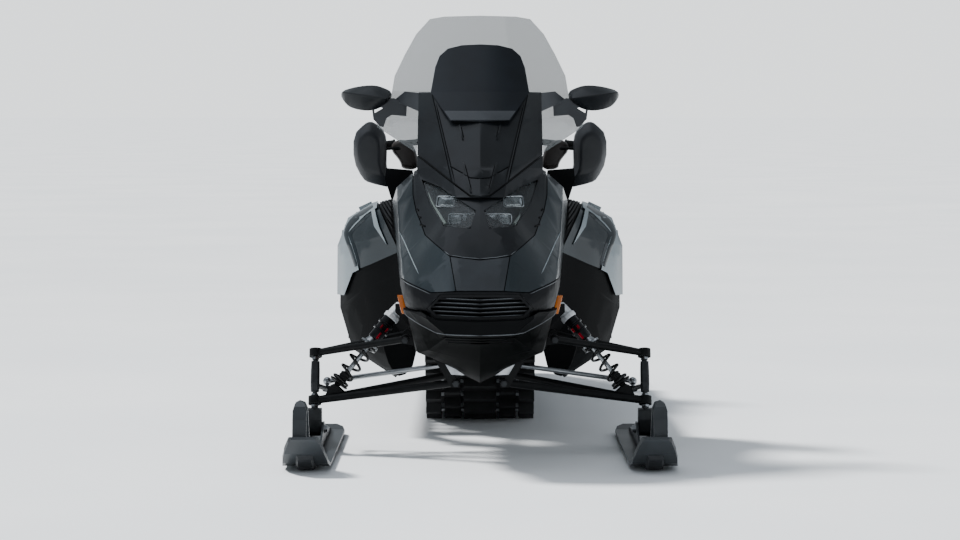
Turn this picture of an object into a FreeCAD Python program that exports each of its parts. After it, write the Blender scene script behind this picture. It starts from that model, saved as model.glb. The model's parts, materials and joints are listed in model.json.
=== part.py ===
"""A touring snowmobile, front at -Y, +Z up, left side at +X. Millimetres.

The origin lies on the ground under the middle of the vehicle's length. The sheet "Sizes" holds the
driving dimensions. Every sub-part is an object of the document, and its shape goes to parts/LABEL.step.
"""
import FreeCAD, Part
import math
import os

import Sketcher
from FreeCAD import Placement, Rotation, Vector

SIZES = {
    # whole vehicle: where it starts and ends along Y, and the running gaps between pieces
    "front_y": -1575, "rear_y": 1575, "fit_gap": 0.3, "panel_gap": 3, "wall": 5,
    # skis
    "ski_stance": 1066, "ski_width": 150, "ski_sheet": 10, "ski_base": 12, "ski_bend_y": -1430,
    "ski_tail_y": -530, "ski_tip_rise": 106, "ski_tip_width": 120, "keel_width": 64, "keel_start_y": -1400,
    "keel_end_y": -620, "ski_rib_x": 24, "ski_rib": 6, "ski_rib_high": 52, "saddle_high": 96,
    "saddle_half": 42, "bolt_y": -1005, "bolt_high": 74, "bolt_radius": 6, "handle_high": 222,
    "handle_width": 42, "handle_thick": 15, "handle_outwards": 14,
    # spindles, ball joints and steering arms
    "lower_ball_y": -1010, "lower_ball_high": 167, "upper_ball_y": -950, "upper_ball_high": 315,
    "stud_radius": 8, "socket_radius": 21, "socket_high": 26, "leg_width": 33, "leg_deep": 36,
    "arm_ball_y": -892, "arm_ball_x": 500, "arm_ball_high": 192, "tie_rod_radius": 8,
    "tie_rod_inner_x": 32, "tie_rod_inner_y": -930, "tie_rod_inner_high": 286,
    # front suspension arms and shock absorbers
    "lower_pivot_x": 76, "lower_pivot_high": 240, "upper_pivot_x": 238, "upper_pivot_high": 372,
    "lower_front_y": -1180, "lower_back_y": -840, "upper_front_y": -1110, "upper_back_y": -850,
    "arm_tube_radius": 12, "upper_tube_radius": 11, "pin_radius": 7, "bush_radius": 14, "bush_long": 36,
    "plate_thick": 8, "shock_y": -1000, "shock_top_y": -925, "shock_low_x": 470, "shock_low_high": 206,
    "shock_top_x": 262, "shock_top_high": 462, "shock_body_radius": 22, "shock_rod_radius": 8,
    "spring_radius": 27, "spring_wire": 5,
    # front frame and engine
    "beam_x": 140, "beam_wide": 40, "beam_low": 345, "beam_high": 27, "former_wide": 30, "former_thick": 6,
    "former_nose_y": -1440, "former_front_y": -1060, "former_back_y": -900, "engine_front_y": -1040,
    "engine_back_y": -790, "engine_half": 165, "engine_high": 280,
    # tunnel, running boards and rear end
    "tunnel_half": 207, "tunnel_wall": 3, "tunnel_top": 545, "tunnel_low": 300, "tunnel_front_y": -490,
    "tunnel_back_y": 1330, "board_width": 246, "board_high": 318, "board_thick": 12, "board_front_y": -439.6,
    "board_back_y": 1010, "board_slot_long": 70, "board_slot_wide": 26, "board_slot_pitch": 96,
    # track and slide suspension
    "track_width": 381, "belt": 8, "lug_high": 32, "lug_count": 48, "lug_share": 0.34, "drive_y": -330,
    "drive_high": 332, "drive_radius": 84, "rear_wheel_y": 1060, "rear_wheel_radius": 92, "top_wheel_y": 480,
    "top_wheel_high": 322, "top_wheel_radius": 66, "rail_front_y": -80, "rail_nose_radius": 190, "rail_x": 105,
    "rail_thick": 12, "rail_high": 62, "road_wheel_radius": 34, "wheel_width": 24, "axle_radius": 11,
    # steering
    "column_y": -390, "column_high": 1000, "column_tilt": 25, "column_radius": 16, "column_long": 250,
    "bar_radius": 11, "grip_radius": 17, "grip_start_x": 292, "grip_end_x": 412, "guard_wall": 4,
    # seat and back
    "seat_top": 800, "passenger_top": 862, "backrest_y": 905, "backrest_top": 1140,
    # fairing, screen and mirrors
    "fairing_back_y": -800, "screen_thick": 4, "deflector_thick": 5, "bracket_thick": 18,
}

doc = FreeCAD.newDocument("Snowmobile")
sheet = doc.addObject("Spreadsheet::Sheet", "Sizes")
for row, (alias, value) in enumerate(SIZES.items(), start=1):
    sheet.set(f"A{row}", alias)
    sheet.set(f"B{row}", str(value))
    sheet.setAlias(f"B{row}", alias)
doc.recompute()


class Size:
    """A length with the expression that gives it, so that one formula sets both the value and the binding."""

    def __init__(self, value, text):
        self.value = value
        self.text = text

    def __float__(self):
        return self.value

    def __add__(self, other):
        return Size(self.value + float(other), f"({self.text} + {text_of(other)})")

    def __radd__(self, other):
        return Size(float(other) + self.value, f"({text_of(other)} + {self.text})")

    def __sub__(self, other):
        return Size(self.value - float(other), f"({self.text} - {text_of(other)})")

    def __rsub__(self, other):
        return Size(float(other) - self.value, f"({text_of(other)} - {self.text})")

    def __mul__(self, other):
        return Size(self.value * float(other), f"({self.text} * {text_of(other)})")

    def __rmul__(self, other):
        return Size(float(other) * self.value, f"({text_of(other)} * {self.text})")

    def __truediv__(self, other):
        return Size(self.value / float(other), f"({self.text} / {text_of(other)})")

    def __neg__(self):
        return Size(-self.value, f"(-1 * {self.text})")


def text_of(number):
    return number.text if isinstance(number, Size) else repr(float(number))


class Sheet:
    """Reads a size from the sheet by its alias."""

    def __getattr__(self, alias):
        return Size(float(getattr(sheet, alias)), "Sizes." + alias)


S = Sheet()
NODES = []


def node(label, thing):
    """Marks an object of the document as the sub-part that is written under this label."""
    thing.Label = label
    NODES.append(thing)
    return thing


def place(thing, x, y, z):
    """Puts an object at a point whose coordinates are bound to the sheet."""
    for axis, number in (("x", x), ("y", y), ("z", z)):
        thing.setExpression(f"Placement.Base.{axis}", text_of(number))
    return thing


def box(name, size, low):
    """A Part::Box from its lowest corner, with each length bound to the sheet."""
    thing = doc.addObject("Part::Box", name)
    for prop, number in zip(("Length", "Width", "Height"), size):
        thing.setExpression(prop, text_of(number))
    return place(thing, *low)


def pad(name, plane, outline, depth, at=(0, 0, 0), holes=()):
    """A PartDesign body padded both ways from a sketch on an origin plane. Each outline is a list of
    (across, up) places, which the sketch holds by its distances from the origin."""
    body = doc.addObject("PartDesign::Body", name)
    support = next(f for f in body.Origin.OriginFeatures if f.Role == plane)
    sketch = body.newObject("Sketcher::SketchObject", name + "_sketch")
    sketch.AttachmentSupport = (support, [""])
    sketch.MapMode = "FlatFace"
    for loop in (outline, *holes):
        first = sketch.GeometryCount
        places = [Vector(float(u), float(v), 0) for u, v in loop]
        lines = [Part.LineSegment(a, b) for a, b in zip(places, places[1:] + places[:1])]
        sketch.addGeometry(lines, False)
        for i, (u, v) in enumerate(loop):
            edge = first + i
            after = first + (i + 1) % len(loop)
            sketch.addConstraint(Sketcher.Constraint("Coincident", edge, 2, after, 1))
            for kind, number in (("DistanceX", u), ("DistanceY", v)):
                held = sketch.addConstraint(Sketcher.Constraint(kind, -1, 1, edge, 1, float(number)))
                if isinstance(number, Size):
                    sketch.setExpression(f"Constraints[{held}]", number.text)
    feature = body.newObject("PartDesign::Pad", name + "_pad")
    feature.Profile = sketch
    feature.SideType = "Symmetric"
    feature.setExpression("Length", text_of(depth))
    return place(body, *at)


def fuse(name, things):
    thing = doc.addObject("Part::MultiFuse", name)
    thing.Shapes = things
    return thing


def cut(name, base, tool):
    thing = doc.addObject("Part::Cut", name)
    thing.Base = base
    thing.Tool = tool
    return thing


def mirrored(name, source):
    """The same piece on the vehicle's other side."""
    thing = doc.addObject("Part::Mirroring", name)
    thing.Source = source
    thing.Normal = (1, 0, 0)
    return thing


def both(name, source):
    """A left piece and its mirror image, as two solids of one sub-part."""
    thing = doc.addObject("Part::Compound", name)
    thing.Links = [source, mirrored(name + "_other", source)]
    return thing


def exact(name, shape):
    """A piece whose shape is worked out by the functions below, from sizes read off the sheet."""
    thing = doc.addObject("Part::Feature", name)
    thing.Shape = shape
    return thing


def other_side(shape):
    return shape.mirror(Vector(), Vector(1, 0, 0))


def pair_of(shape):
    return Part.Compound([shape, other_side(shape)])


def rod(start, end, radius):
    along = Vector(*end) - Vector(*start)
    return Part.makeCylinder(float(radius), along.Length, Vector(*start), along)


def tube_run(points, radius):
    """Straight tubes from point to point, with a ball at each bend."""
    parts = [rod(a, b, radius) for a, b in zip(points, points[1:])]
    parts += [Part.makeSphere(float(radius), Vector(*p)) for p in points[1:-1]]
    return parts[0].fuse(parts[1:])


def polygon(points):
    return Part.makePolygon([Vector(*p) for p in points] + [Vector(*points[0])])


def plate_xz(outline, low_y, high_y):
    """A plate with an outline seen from the front, as (x, z) places, between two stations along Y."""
    face = Part.Face(polygon([(x, low_y, z) for x, z in outline]))
    return face.extrude(Vector(0, high_y - low_y, 0))


def plate_yz(outline, low_x, high_x):
    """A plate with an outline seen from the side, as (y, z) places, between two distances from the middle."""
    face = Part.Face(polygon([(low_x, y, z) for y, z in outline]))
    return face.extrude(Vector(high_x - low_x, 0, 0))


def offset_outline(outline, by):
    """The outline moved outwards by a distance, edge by edge. Outlines run clockwise or the other way."""
    turned = sum(a[0] * b[1] - b[0] * a[1] for a, b in zip(outline, outline[1:] + outline[:1]))
    side = 1 if turned > 0 else -1
    lines = []
    for (ax, az), (bx, bz) in zip(outline, outline[1:] + outline[:1]):
        long = math.hypot(bx - ax, bz - az)
        nx, nz = side * (bz - az) / long, -side * (bx - ax) / long
        lines.append(((ax + nx * by, az + nz * by), (bx - ax, bz - az)))
    moved = []
    for ((ax, az), (ux, uz)), ((bx, bz), (vx, vz)) in zip(lines[-1:] + lines[:-1], lines):
        cross = ux * vz - uz * vx
        along = ((bx - ax) * vz - (bz - az) * vx) / cross if abs(cross) > 1e-6 else 1
        moved.append((ax + ux * along, az + uz * along))
    return moved


def strip(a, b, across):
    """A thin outline round the line between two places."""
    long = math.dist(a, b)
    side = ((b[1] - a[1]) / long * across / 2, (a[0] - b[0]) / long * across / 2)
    return [(a[0] + side[0], a[1] + side[1]), (b[0] + side[0], b[1] + side[1]),
            (b[0] - side[0], b[1] - side[1]), (a[0] - side[0], a[1] - side[1])]


def symmetric(half):
    """A closed outline from its left half, which starts and ends on the middle line."""
    return half + [(-x, z) for x, z in reversed(half) if x > 0]


# Body shell: sections across the vehicle, front to back.
# Columns: station y, then the half outline from the top middle round to the bottom middle as (x, z).
SHELL = [
    (-1490, [(0, 556), (73, 556), (118, 546), (150, 512), (150, 478), (85, 424), (0, 421)]),
    (-1420, [(0, 648), (88, 650), (150, 600), (205, 555), (205, 495), (120, 395), (0, 380)]),
    (-1340, [(0, 745), (90, 742), (160, 672), (232, 590), (236, 520), (160, 360), (0, 320)]),
    (-1260, [(0, 822), (85, 815), (171, 713), (245, 640), (246, 545), (195, 345), (0, 270)]),
    (-1150, [(0, 893), (120, 880), (202, 784), (254, 700), (252, 548), (205, 345), (0, 238)]),
    (-1050, [(0, 930), (150, 925), (207, 895), (264, 806), (256, 552), (208, 345), (0, 230)]),
    (-950, [(0, 938), (160, 932), (212, 905), (268, 854), (260, 556), (210, 345), (0, 230)]),
    (-760, [(0, 905), (140, 900), (205, 880), (290, 800), (268, 560), (215, 345), (0, 235)]),
]


def shell_solid(by, front=0.0, back=0.0):
    """The body's closed form, each section moved outwards by a distance and the ends moved along Y."""
    wires = []
    for i, (y, half) in enumerate(SHELL):
        y += front if i == 0 else back if i == len(SHELL) - 1 else 0
        outline = symmetric(half) if by == 0 else offset_outline(symmetric(half), by)
        wires.append(polygon([(x, y, z) for x, z in outline]))
    return Part.makeLoft(wires, True, True)


def half_at(y):
    """The shell's half outline at a station, between the sections that lie before and after it."""
    for (ya, a), (yb, b) in zip(SHELL, SHELL[1:]):
        if ya <= y <= yb:
            share = (y - ya) / (yb - ya)
            return [(p[0] + (q[0] - p[0]) * share, p[1] + (q[1] - p[1]) * share) for p, q in zip(a, b)]
    raise ValueError(f"no shell section at {y}")


def seam_prism(outline):
    """All that lies behind a closed outline seen from the front."""
    return plate_xz(outline, float(S.front_y) - 50, -400)


def both_outlines(outline):
    return [outline, [(-x, z) for x, z in outline]]


wall = float(S.wall)
gap = float(S.fit_gap)
seam = float(S.panel_gap) / 2
skin = shell_solid(0).cut(shell_solid(-wall, wall, 5))

# Seams of the body's panels seen from the front, left half, as (x, z) places.
HOOD_EDGE = [(0, 644), (92, 655), (171, 713), (188, 754), (202, 784), (213, 832), (215, 912)]
PANEL_LOW = [(73, 553), (150, 547), (237, 578), (320, 574)]
LAMP = [(14, 790), (60, 818), (127, 859), (184, 880), (160, 812), (112, 744), (30, 738)]
GRILLE = [(0, 543), (122, 543), (163, 500), (134, 470), (0, 464)]
CORNER_LOW = [(0, 440), (134, 440), (163, 492), (240, 488), (320, 488)]
high, wide = 1200, 400

hood_region = symmetric(HOOD_EDGE + [(215, high), (0, high)])
nose_region = symmetric([(0, 644), (92, 655), (73, 553), (0, 553)])
side_region = [(92, 655), *HOOD_EDGE[2:], (215, high), (wide, high), (wide, 574), *PANEL_LOW[2:0:-1],
               (73, 553)]
corner_region = symmetric([(0, 553), *PANEL_LOW[:3], (wide, 574), (wide, 488), *CORNER_LOW[3:0:-1], (0, 440)])
belly_region = symmetric([(0, 440), *CORNER_LOW[1:4], (wide, 488), (wide, 0), (0, 0)])


def panel(region, base=skin):
    return base.common(seam_prism(offset_outline(region, -seam)))


def pieces_of(shape, smallest=2000):
    """A shape's solids without the crumbs that a seam can leave."""
    return Part.Compound([s for s in shape.Solids if s.Volume > smallest])


# Windscreen fairing: a hollow tower through level sections. Its foot is part of the hood, up to a
# V-shaped seam. Columns: z, y at the middle, x and y of the crease, x and y of the edge.
FAIRING = [(830, -1268, 75, -1248, 200, -1100), (917, -1190, 92, -1165, 201, -1050),
           (1067, -1050, 130, -1018, 201, -930), (1160, -965, 155, -920, 199, -862)]
FAIRING_LOW = [(0, 832), (30, 832), (187, 946), (260, 999)]
fairing_back = float(S.fairing_back_y)


def tower_form(inwards):
    """The tower's closed form, with its walls moved inwards by a distance."""
    wires = []
    for z, y0, x1, y1, x2, y2 in FAIRING:
        plan = [(-x2, y2), (-x1, y1), (0, y0), (x1, y1), (x2, y2), (x2, fairing_back), (-x2, fairing_back)]
        wires.append(polygon([(x, y, z) for x, y in offset_outline(plan, -inwards)]))
    return Part.makeLoft(wires, True, True)


def between(low_z, high_z):
    return Part.makeBox(2 * wide, 1200, high_z - low_z, Vector(-wide, -1600, low_z))


fairing_top = FAIRING[-1][0]
tower = tower_form(0).cut(tower_form(wall).common(between(0, fairing_top - wall)))
fairing_region = symmetric(FAIRING_LOW + [(260, high), (0, high)])
cheeks = tower.cut(shell_solid(-wall / 2, -1, 0)).cut(seam_prism(offset_outline(fairing_region, seam)))
lamp_gap = [seam_prism(offset_outline(o, 1.2)) for o in both_outlines(LAMP)]
hood = panel(hood_region).fuse(pieces_of(cheeks)).cut(lamp_gap)
node("hood", exact("Hood", pieces_of(hood)))
node("nose_panel", exact("NosePanel", pieces_of(panel(nose_region))))
side = panel(side_region)
node("side_panels", exact("SidePanels", pieces_of(pair_of(side))))
corners = panel(corner_region).cut(seam_prism(offset_outline(symmetric(GRILLE), 1)))
node("nose_surround", exact("NoseSurround", pieces_of(corners)))

# Headlamps: a clear cover flush with the skin, and behind it a dark tray with four lamp units.
covers = [skin.common(seam_prism(o)) for o in both_outlines(LAMP)]
node("headlamp_covers", exact("HeadlampCovers", Part.Compound(covers)))
behind = shell_solid(-wall - gap, wall + gap).cut(shell_solid(-30, 30))
tray_floor = shell_solid(-26, 26)
# Columns: middle x and z of each lamp unit seen from the front, half width, half height.
UNITS = [(103, 818, 26, 14), (60, 768, 30, 15)]
trays = []
for side_sign in (1, -1):
    outline = [(side_sign * x, z) for x, z in LAMP]
    outer = behind.common(seam_prism(offset_outline(outline, 5)))
    hollow = seam_prism(offset_outline(outline, -2)).cut(tray_floor)
    tray = outer.cut(hollow)
    for x, z, half_wide, half_high in UNITS:
        corners_of = [(-1, -1), (1, -1), (1, 1), (-1, 1)]
        unit = [(side_sign * x + a * half_wide, z + b * half_high) for a, b in corners_of]
        layer = shell_solid(-14, 14).cut(shell_solid(-28, 28))
        tray = tray.fuse(layer.common(seam_prism(unit)))
    trays.append(tray.common(Part.makeBox(900, 500, 900, Vector(-450, -1580, 300))))
node("headlamp_units", exact("HeadlampUnits", pieces_of(Part.Compound(trays))))

# Grille: a frame and five bars that dip to the middle, set back from the skin.
grille_layer = shell_solid(-1, 1).cut(shell_solid(-16, 16))
grille_prism = seam_prism(symmetric(GRILLE))
inner_grille = seam_prism(offset_outline(symmetric(GRILLE), -9))
frame_of_grille = grille_layer.common(grille_prism).cut(inner_grille)
bars = []
bar_count, bar_high, bar_dip = 5, 6, 8
for i in range(bar_count):
    z = 530 - i * 13
    bar = symmetric([(0, z - bar_dip), (170, z), (170, z + bar_high), (0, z + bar_high - bar_dip)])
    set_back = shell_solid(-5, 5).cut(shell_solid(-13, 13))
    bars.append(set_back.common(seam_prism(bar)).common(grille_prism))
node("grille", exact("Grille", frame_of_grille.fuse(bars)))

# Front bumper: a thick lip that follows the nose and stands proud of it.
lip_outline = symmetric([(0, 460), (131, 466), (180, 489), (240, 484), (237, 470), (134, 424), (0, 418)])
lip = shell_solid(14, -16).cut(shell_solid(gap, -gap)).common(seam_prism(lip_outline))
lip = lip.common(Part.makeBox(700, 365, 400, Vector(-350, -1600, 300)))
node("front_bumper", exact("FrontBumper", pieces_of(lip)))

# Front frame: two beams, two formers that carry the panels, and plates for the arms and shock absorbers.
beam_x, beam_low = float(S.beam_x), float(S.beam_low)
beam_wide, beam_high = float(S.beam_wide), float(S.beam_high)
beam_top = beam_low + beam_high
plate = float(S.plate_thick)
low_x, low_z = float(S.lower_pivot_x), float(S.lower_pivot_high)
up_x, up_z = float(S.upper_pivot_x), float(S.upper_pivot_high)
top_x, top_z = float(S.shock_top_x), float(S.shock_top_high)
beam_out = beam_x + beam_wide
LOWER_PLATE = [(low_x - 14, low_z - 13), (low_x + 16, low_z - 13), (beam_out - 8, beam_top - 8),
               (beam_x, beam_top - 8)]
UPPER_PLATE = [(beam_out - 6, beam_low + 4), (up_x + 12, up_z - 12), (up_x + 12, up_z + 12),
               (beam_out - 6, beam_top)]
SHOCK_PLATE = [(beam_out - 10, beam_top - 8), (beam_out, beam_low + 8), (top_x + 13, top_z - 14),
               (top_x + 13, top_z + 13), (top_x - 13, top_z + 13)]
# Columns: outline, station of the plate's middle, side that the pin leaves to (+1 rearwards), pin x, pin z.
MOUNTS = [
    (LOWER_PLATE, float(S.lower_front_y), 1, low_x, low_z),
    (LOWER_PLATE, float(S.lower_back_y), -1, low_x, low_z),
    (UPPER_PLATE, float(S.upper_front_y), 1, up_x, up_z),
    (UPPER_PLATE, float(S.upper_back_y), -1, up_x, up_z),
    (SHOCK_PLATE, float(S.shock_top_y) - 24, 1, top_x, top_z),
]
beam_front = float(S.lower_front_y) - 10
beam_long = float(S.tunnel_front_y) - gap - beam_front
frame_left = Part.makeBox(beam_wide, beam_long, beam_high, Vector(beam_x, beam_front, beam_low))
slots = []
for outline, y, away, pin_x, pin_z in MOUNTS:
    frame_left = frame_left.fuse(plate_xz(outline, y - plate / 2, y + plate / 2))
    pin_long = float(S.bush_long) + plate / 2 + 2
    pin = Part.makeCylinder(float(S.pin_radius), pin_long, Vector(pin_x, y, pin_z), Vector(0, away, 0))
    frame_left = frame_left.fuse(pin)
    slots.append(plate_xz(offset_outline(outline, 1.5), y - plate / 2 - 1.5, y + plate / 2 + 1.5))
frame_shape = frame_left.fuse(other_side(frame_left))
for y in (float(S.former_nose_y), float(S.former_front_y), float(S.former_back_y)):
    section = symmetric(half_at(y))
    half_thick = float(S.former_thick) / 2
    outer_ring = shell_solid(-wall - gap, wall)
    ring_line = offset_outline(section, -wall - float(S.former_wide))
    inner_ring = plate_xz(ring_line, y - half_thick, y + half_thick)
    slab = Part.makeBox(900, 2 * half_thick, 1200, Vector(-450, y - half_thick, 0))
    frame_shape = frame_shape.fuse(outer_ring.common(slab).cut(inner_ring))
# A keel box joins the nose former to the front former, and a post carries it down to the belly.
nose_y, front_y = float(S.former_nose_y), float(S.former_front_y)
frame_shape = frame_shape.fuse(Part.makeBox(60, front_y - nose_y, 24, Vector(-30, nose_y, 402)))
frame_shape = frame_shape.fuse(Part.makeBox(60, 6, 180, Vector(-30, front_y - 3, 260)))
node("front_frame", exact("FrontFrame", frame_shape))
# The tie rod's slot in the belly, with room for its swing.
slots.append(Part.makeBox(138, 84, 90, Vector(16, float(S.tie_rod_inner_y) - 46, 220)))
belly = panel(belly_region).cut(slots + [other_side(s) for s in slots])
# Lower vent: three slots that dip to the middle. Columns: z at the middle, half width.
VENTS = [(404, 112), (395, 106), (386, 100)]
vent_high, vent_dip = 5, 3
vents = []
for z, half_wide in VENTS:
    vent_top = z + vent_high
    slot = [(0, z), (half_wide, z + vent_dip), (half_wide - 4, vent_top + vent_dip), (0, vent_top)]
    vents.append(seam_prism(symmetric(slot)))
node("belly_pan", exact("BellyPan", pieces_of(belly.cut(vents))))

engine = box("Engine", (S.engine_half * 2, S.engine_back_y - S.engine_front_y, S.engine_high),
             (-S.engine_half, S.engine_front_y, S.beam_low + S.beam_high + S.fit_gap))
node("engine_block", engine)

# Flanks: the painted fenders that flare out round the feet, and the dark panels below them.
# Columns: station y, then the outline from the inner top edge round to the inner bottom edge.
FLANK = [
    (-759.5, [(212, 876), (290, 800), (289, 760), (281, 690), (268, 560), (246, 460), (217, 350)]),
    (-640, [(206, 826), (326, 797), (372, 742), (396, 660), (394, 500), (350, 330), (240, 245)]),
    (-500, [(205, 782), (362, 782), (445, 732), (480, 640), (482, 430), (440, 285), (290, 185)]),
    (-440, [(205, 768), (356, 768), (440, 724), (476, 636), (478, 430), (436, 290), (290, 195)]),
]


def flank_solid(outer, inner):
    """A skin between two depths below the flank's outer surface, over all its stations."""
    wires = []
    for y, line in FLANK:
        closed = line + [(150, line[-1][1] - 40), (150, line[0][1] + 40)]
        out = offset_outline(closed, -outer)[: len(line)] if outer else line
        far = offset_outline(closed, -inner)[: len(line)]
        wires.append(polygon([(x, y, z) for x, z in out + far[::-1]]))
    return Part.makeLoft(wires, True, True)


# Edges of the fender seen from the front, as (x, z) places: its lower edge, its inner edge beside the vent,
# and the silver rim on it, with a strip beside the vent.
FENDER_LOW = [(268, 634), (318, 610), (365, 587), (428, 560), (440, 548), (470, 482), (520, 482)]
FENDER_IN = [(352, high), (350, 800)]
RIM = [(346, 776), (346, 900), (560, 900), (560, 474), (462, 474), (431, 553), (408, 566), (418, 605),
       (434, 650), (450, 684), (421, 716), (384, 752)]
RIM_STRIP = [(356, 900), (369, 900), (369, 782), (354, 715), (310, 656), (337, 715), (356, 782)]


def on_flank(outer, inner, *outlines):
    """The part of the flank's skin, between two depths, that lies behind outlines seen from the front."""
    prisms = [plate_xz(o, -800, -400) for o in outlines]
    prism = prisms[0].fuse(prisms[1:]) if len(prisms) > 1 else prisms[0]
    return flank_solid(outer, inner).common(prism)


fender_thick, rim_thick, overlap = 4, 6, 14
fender = on_flank(0, fender_thick, FENDER_LOW + [(520, high)] + FENDER_IN)
node("fenders", exact("Fenders", pair_of(fender)))
rims = on_flank(-rim_thick, -gap, RIM, RIM_STRIP)
node("fender_rims", exact("FenderRims", pieces_of(pair_of(rims), 500)))
lower_edge = [(150, 640 + overlap), *[(x, z + overlap) for x, z in FENDER_LOW]]
vent_panel = [(150, 640), (268 + overlap, 634), (350 + overlap, 800), (352 + overlap, high), (150, high)]
lower = on_flank(fender_thick + gap, 2 * fender_thick + gap, lower_edge + [(520, 0), (150, 0)], vent_panel)

# A small wind deflector stands on the front edge of each flank, below the hand guard, and leans back.
WING = [(214, 854), (224, 903), (312, 910), (315, 872), (291, 800), (286, 793)]
wing_thick, wing_lean = 6, 0.35


def wing_form(by):
    """The deflector's form grown by a distance: its outline between two leaning planes."""
    outline = offset_outline(WING, by) if by else WING
    starts = (-759.2 - by, -759.2 + wing_thick + by)
    faces = [polygon([(x, y + wing_lean * (z - WING[-1][1]), z) for x, z in outline]) for y in starts]
    return Part.makeLoft(faces, True, True)


node("flank_panels", exact("FlankPanels", pair_of(lower.fuse(wing_form(0)))))

# Side vents: slanting louvres on the dark panel between the side panel and the fender.
louvre_count, louvre_pitch, louvre_wide = 9, 19, 7
vent_window = plate_xz([(200, 652), (262, 650), (344, 806), (344, high), (200, high)], -800, -400)
louvre_layer = flank_solid(-1, fender_thick).common(vent_window).cut(wing_form(1))
louvres = []
for i in range(louvre_count):
    z = 640 + i * louvre_pitch
    slant = strip((250, z - 26), (350, z + 112), louvre_wide)
    louvres.append(louvre_layer.common(plate_xz(slant, -752, -450)))
node("side_vents", exact("SideVents", pieces_of(pair_of(Part.Compound(louvres)), 400)))

# Console over the fuel tank, from the body's rear edge to the seat.
# Columns: station y, top half width, top z, shoulder half width, shoulder z, foot half width.
CONSOLE = [(-759.5, 120, 905, 172, 860, 188), (-600, 112, 918, 160, 850, 190), (-430, 92, 890, 145, 815, 192),
           (-262, 74, 800, 124, 740, 190)]
console_low = float(S.tunnel_top) + gap


def across(rows):
    """A solid through sections with the same columns, down to the level of the tunnel's top."""
    wires = []
    for y, top_half, top, mid_half, mid, foot_half in rows:
        half = [(0, top), (top_half, top), (mid_half, mid), (foot_half, console_low), (0, console_low)]
        wires.append(polygon([(x, y, z) for x, z in symmetric(half)]))
    return Part.makeLoft(wires, True, True)


tilt = math.radians(float(S.column_tilt))
column_top = Vector(0, float(S.column_y), float(S.column_high))
column_axis = Vector(0, math.sin(tilt), math.cos(tilt))
bore = Part.makeCylinder(float(S.column_radius) + gap, float(S.column_long) + 10,
                         column_top - column_axis * (float(S.column_long) + 10), column_axis)
cap = Part.makeCylinder(34, 22, Vector(0, -322, 838), Vector(0, -0.42, 1))
console = across(CONSOLE).cut(bore).fuse(cap)
node("console", exact("Console", console))

# The fairing above the seam: seam lines and ribs on its face, and a lip inside that holds it to the cheeks.
def face_prisms(lines, across):
    """What lies behind a strip round each line and its mirror image, as far as the tower's front walls."""
    outlines = [o for a, b in lines for o in both_outlines(strip(a, b, across))]
    return [plate_xz(o, float(S.front_y), fairing_back - 30) for o in outlines]


GROOVES = [((86, 868), (154, 1152)), ((94, 925), (53, 903)), ((31, 890), (0, 887))]
RIBS = [((53, 936), (29, 846)), ((66, 1056), (55, 1010))]
groove_deep, groove_wide, rib_proud, rib_wide = 2.5, 4, 5, 5
fairing = tower.common(seam_prism(offset_outline(fairing_region, -seam))).cut(shell_solid(gap, -1, 0))
groove_layer = tower_form(-1).cut(tower_form(groove_deep))
fairing = fairing.cut([groove_layer.common(p) for p in face_prisms(GROOVES, groove_wide)])
rib_layer = tower_form(-rib_proud).cut(tower_form(1))
fairing = fairing.fuse([rib_layer.common(p) for p in face_prisms(RIBS, rib_wide)])
lip_band = seam_prism(offset_outline(fairing_region, 12)).cut(seam_prism(offset_outline(fairing_region, -8)))
lip_wall = tower_form(wall - 1).cut(tower_form(wall + 3)).common(lip_band)
behind_cheeks = tower_form(0).cut(tower_form(wall + gap)).cut(seam_prism(fairing_region))
inner_lip = lip_wall.cut(behind_cheeks).cut(shell_solid(gap, -1, 0))
node("windscreen_fairing", exact("WindscreenFairing", pieces_of(fairing.fuse(inner_lip))))


def bow(z, y0, half, y_edge, thick):
    """A level section of a curved sheet: two arcs, one behind the other, joined at the edges."""
    front = [Vector(-half, y_edge, z), Vector(0, y0, z), Vector(half, y_edge, z)]
    rear = [p + Vector(0, thick, 0) for p in front]
    edges = [Part.Arc(*front).toShape(), Part.makeLine(front[2], rear[2]),
             Part.Arc(*rear[::-1]).toShape(), Part.makeLine(rear[0], front[0])]
    return Part.Wire(edges)


# Dark deflector in front and clear screen behind: z, y at the middle, half width, y at the edge.
DEFLECTOR = [(1058, -1064, 150, -1040), (1160, -974, 175, -930), (1235, -914, 170, -868),
             (1320, -846, 160, -806)]
SCREEN = [(930, -799.5, 365, -742), (1060, -799.5, 365, -742), (1165, -799.5, 330, -735),
          (1290, -722, 280, -672), (1425, -628, 230, -590)]
deflector_edge = symmetric([(0, 1316), (60, 1313), (105, 1302), (132, 1278), (146, 1240), (159, 1160),
                            (96, 1068), (0, 1066)])
deflector = Part.makeLoft([bow(*r, float(S.deflector_thick)) for r in DEFLECTOR], True, True)
node("deflector", exact("Deflector", deflector.common(seam_prism(deflector_edge))))
screen_edge = symmetric([(0, 1417), (120, 1414), (168, 1406), (213, 1355), (250, 1286), (283, 1215),
                         (291, 1160), (300, 1120), (346, 1070), (338, 1045), (208, 960), (202, 1080),
                         (150, 1100), (0, 1100)])
screen = Part.makeLoft([bow(*r, float(S.screen_thick)) for r in SCREEN], True, True)
node("windscreen", exact("Windscreen", screen.common(plate_xz(screen_edge, -900, -500))))

# Ears that carry the screen's corners, one on each side of the fairing.
EAR_FRONT = [(199.5, 1158), (246, 1163), (283, 1134), (200.8, 1098)]


def ear_form(by):
    """The ear's form grown by a distance, from its slanted front face to its rear face."""
    outline = offset_outline(EAR_FRONT, by) if by else EAR_FRONT
    faces = [polygon([(x, low + slope * (x - 199) + shift, z) for x, z in outline])
             for low, slope, shift in ((-868, 0.85, -by), (-801.5, 0.36, by))]
    return Part.makeLoft(faces, True, True)


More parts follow.
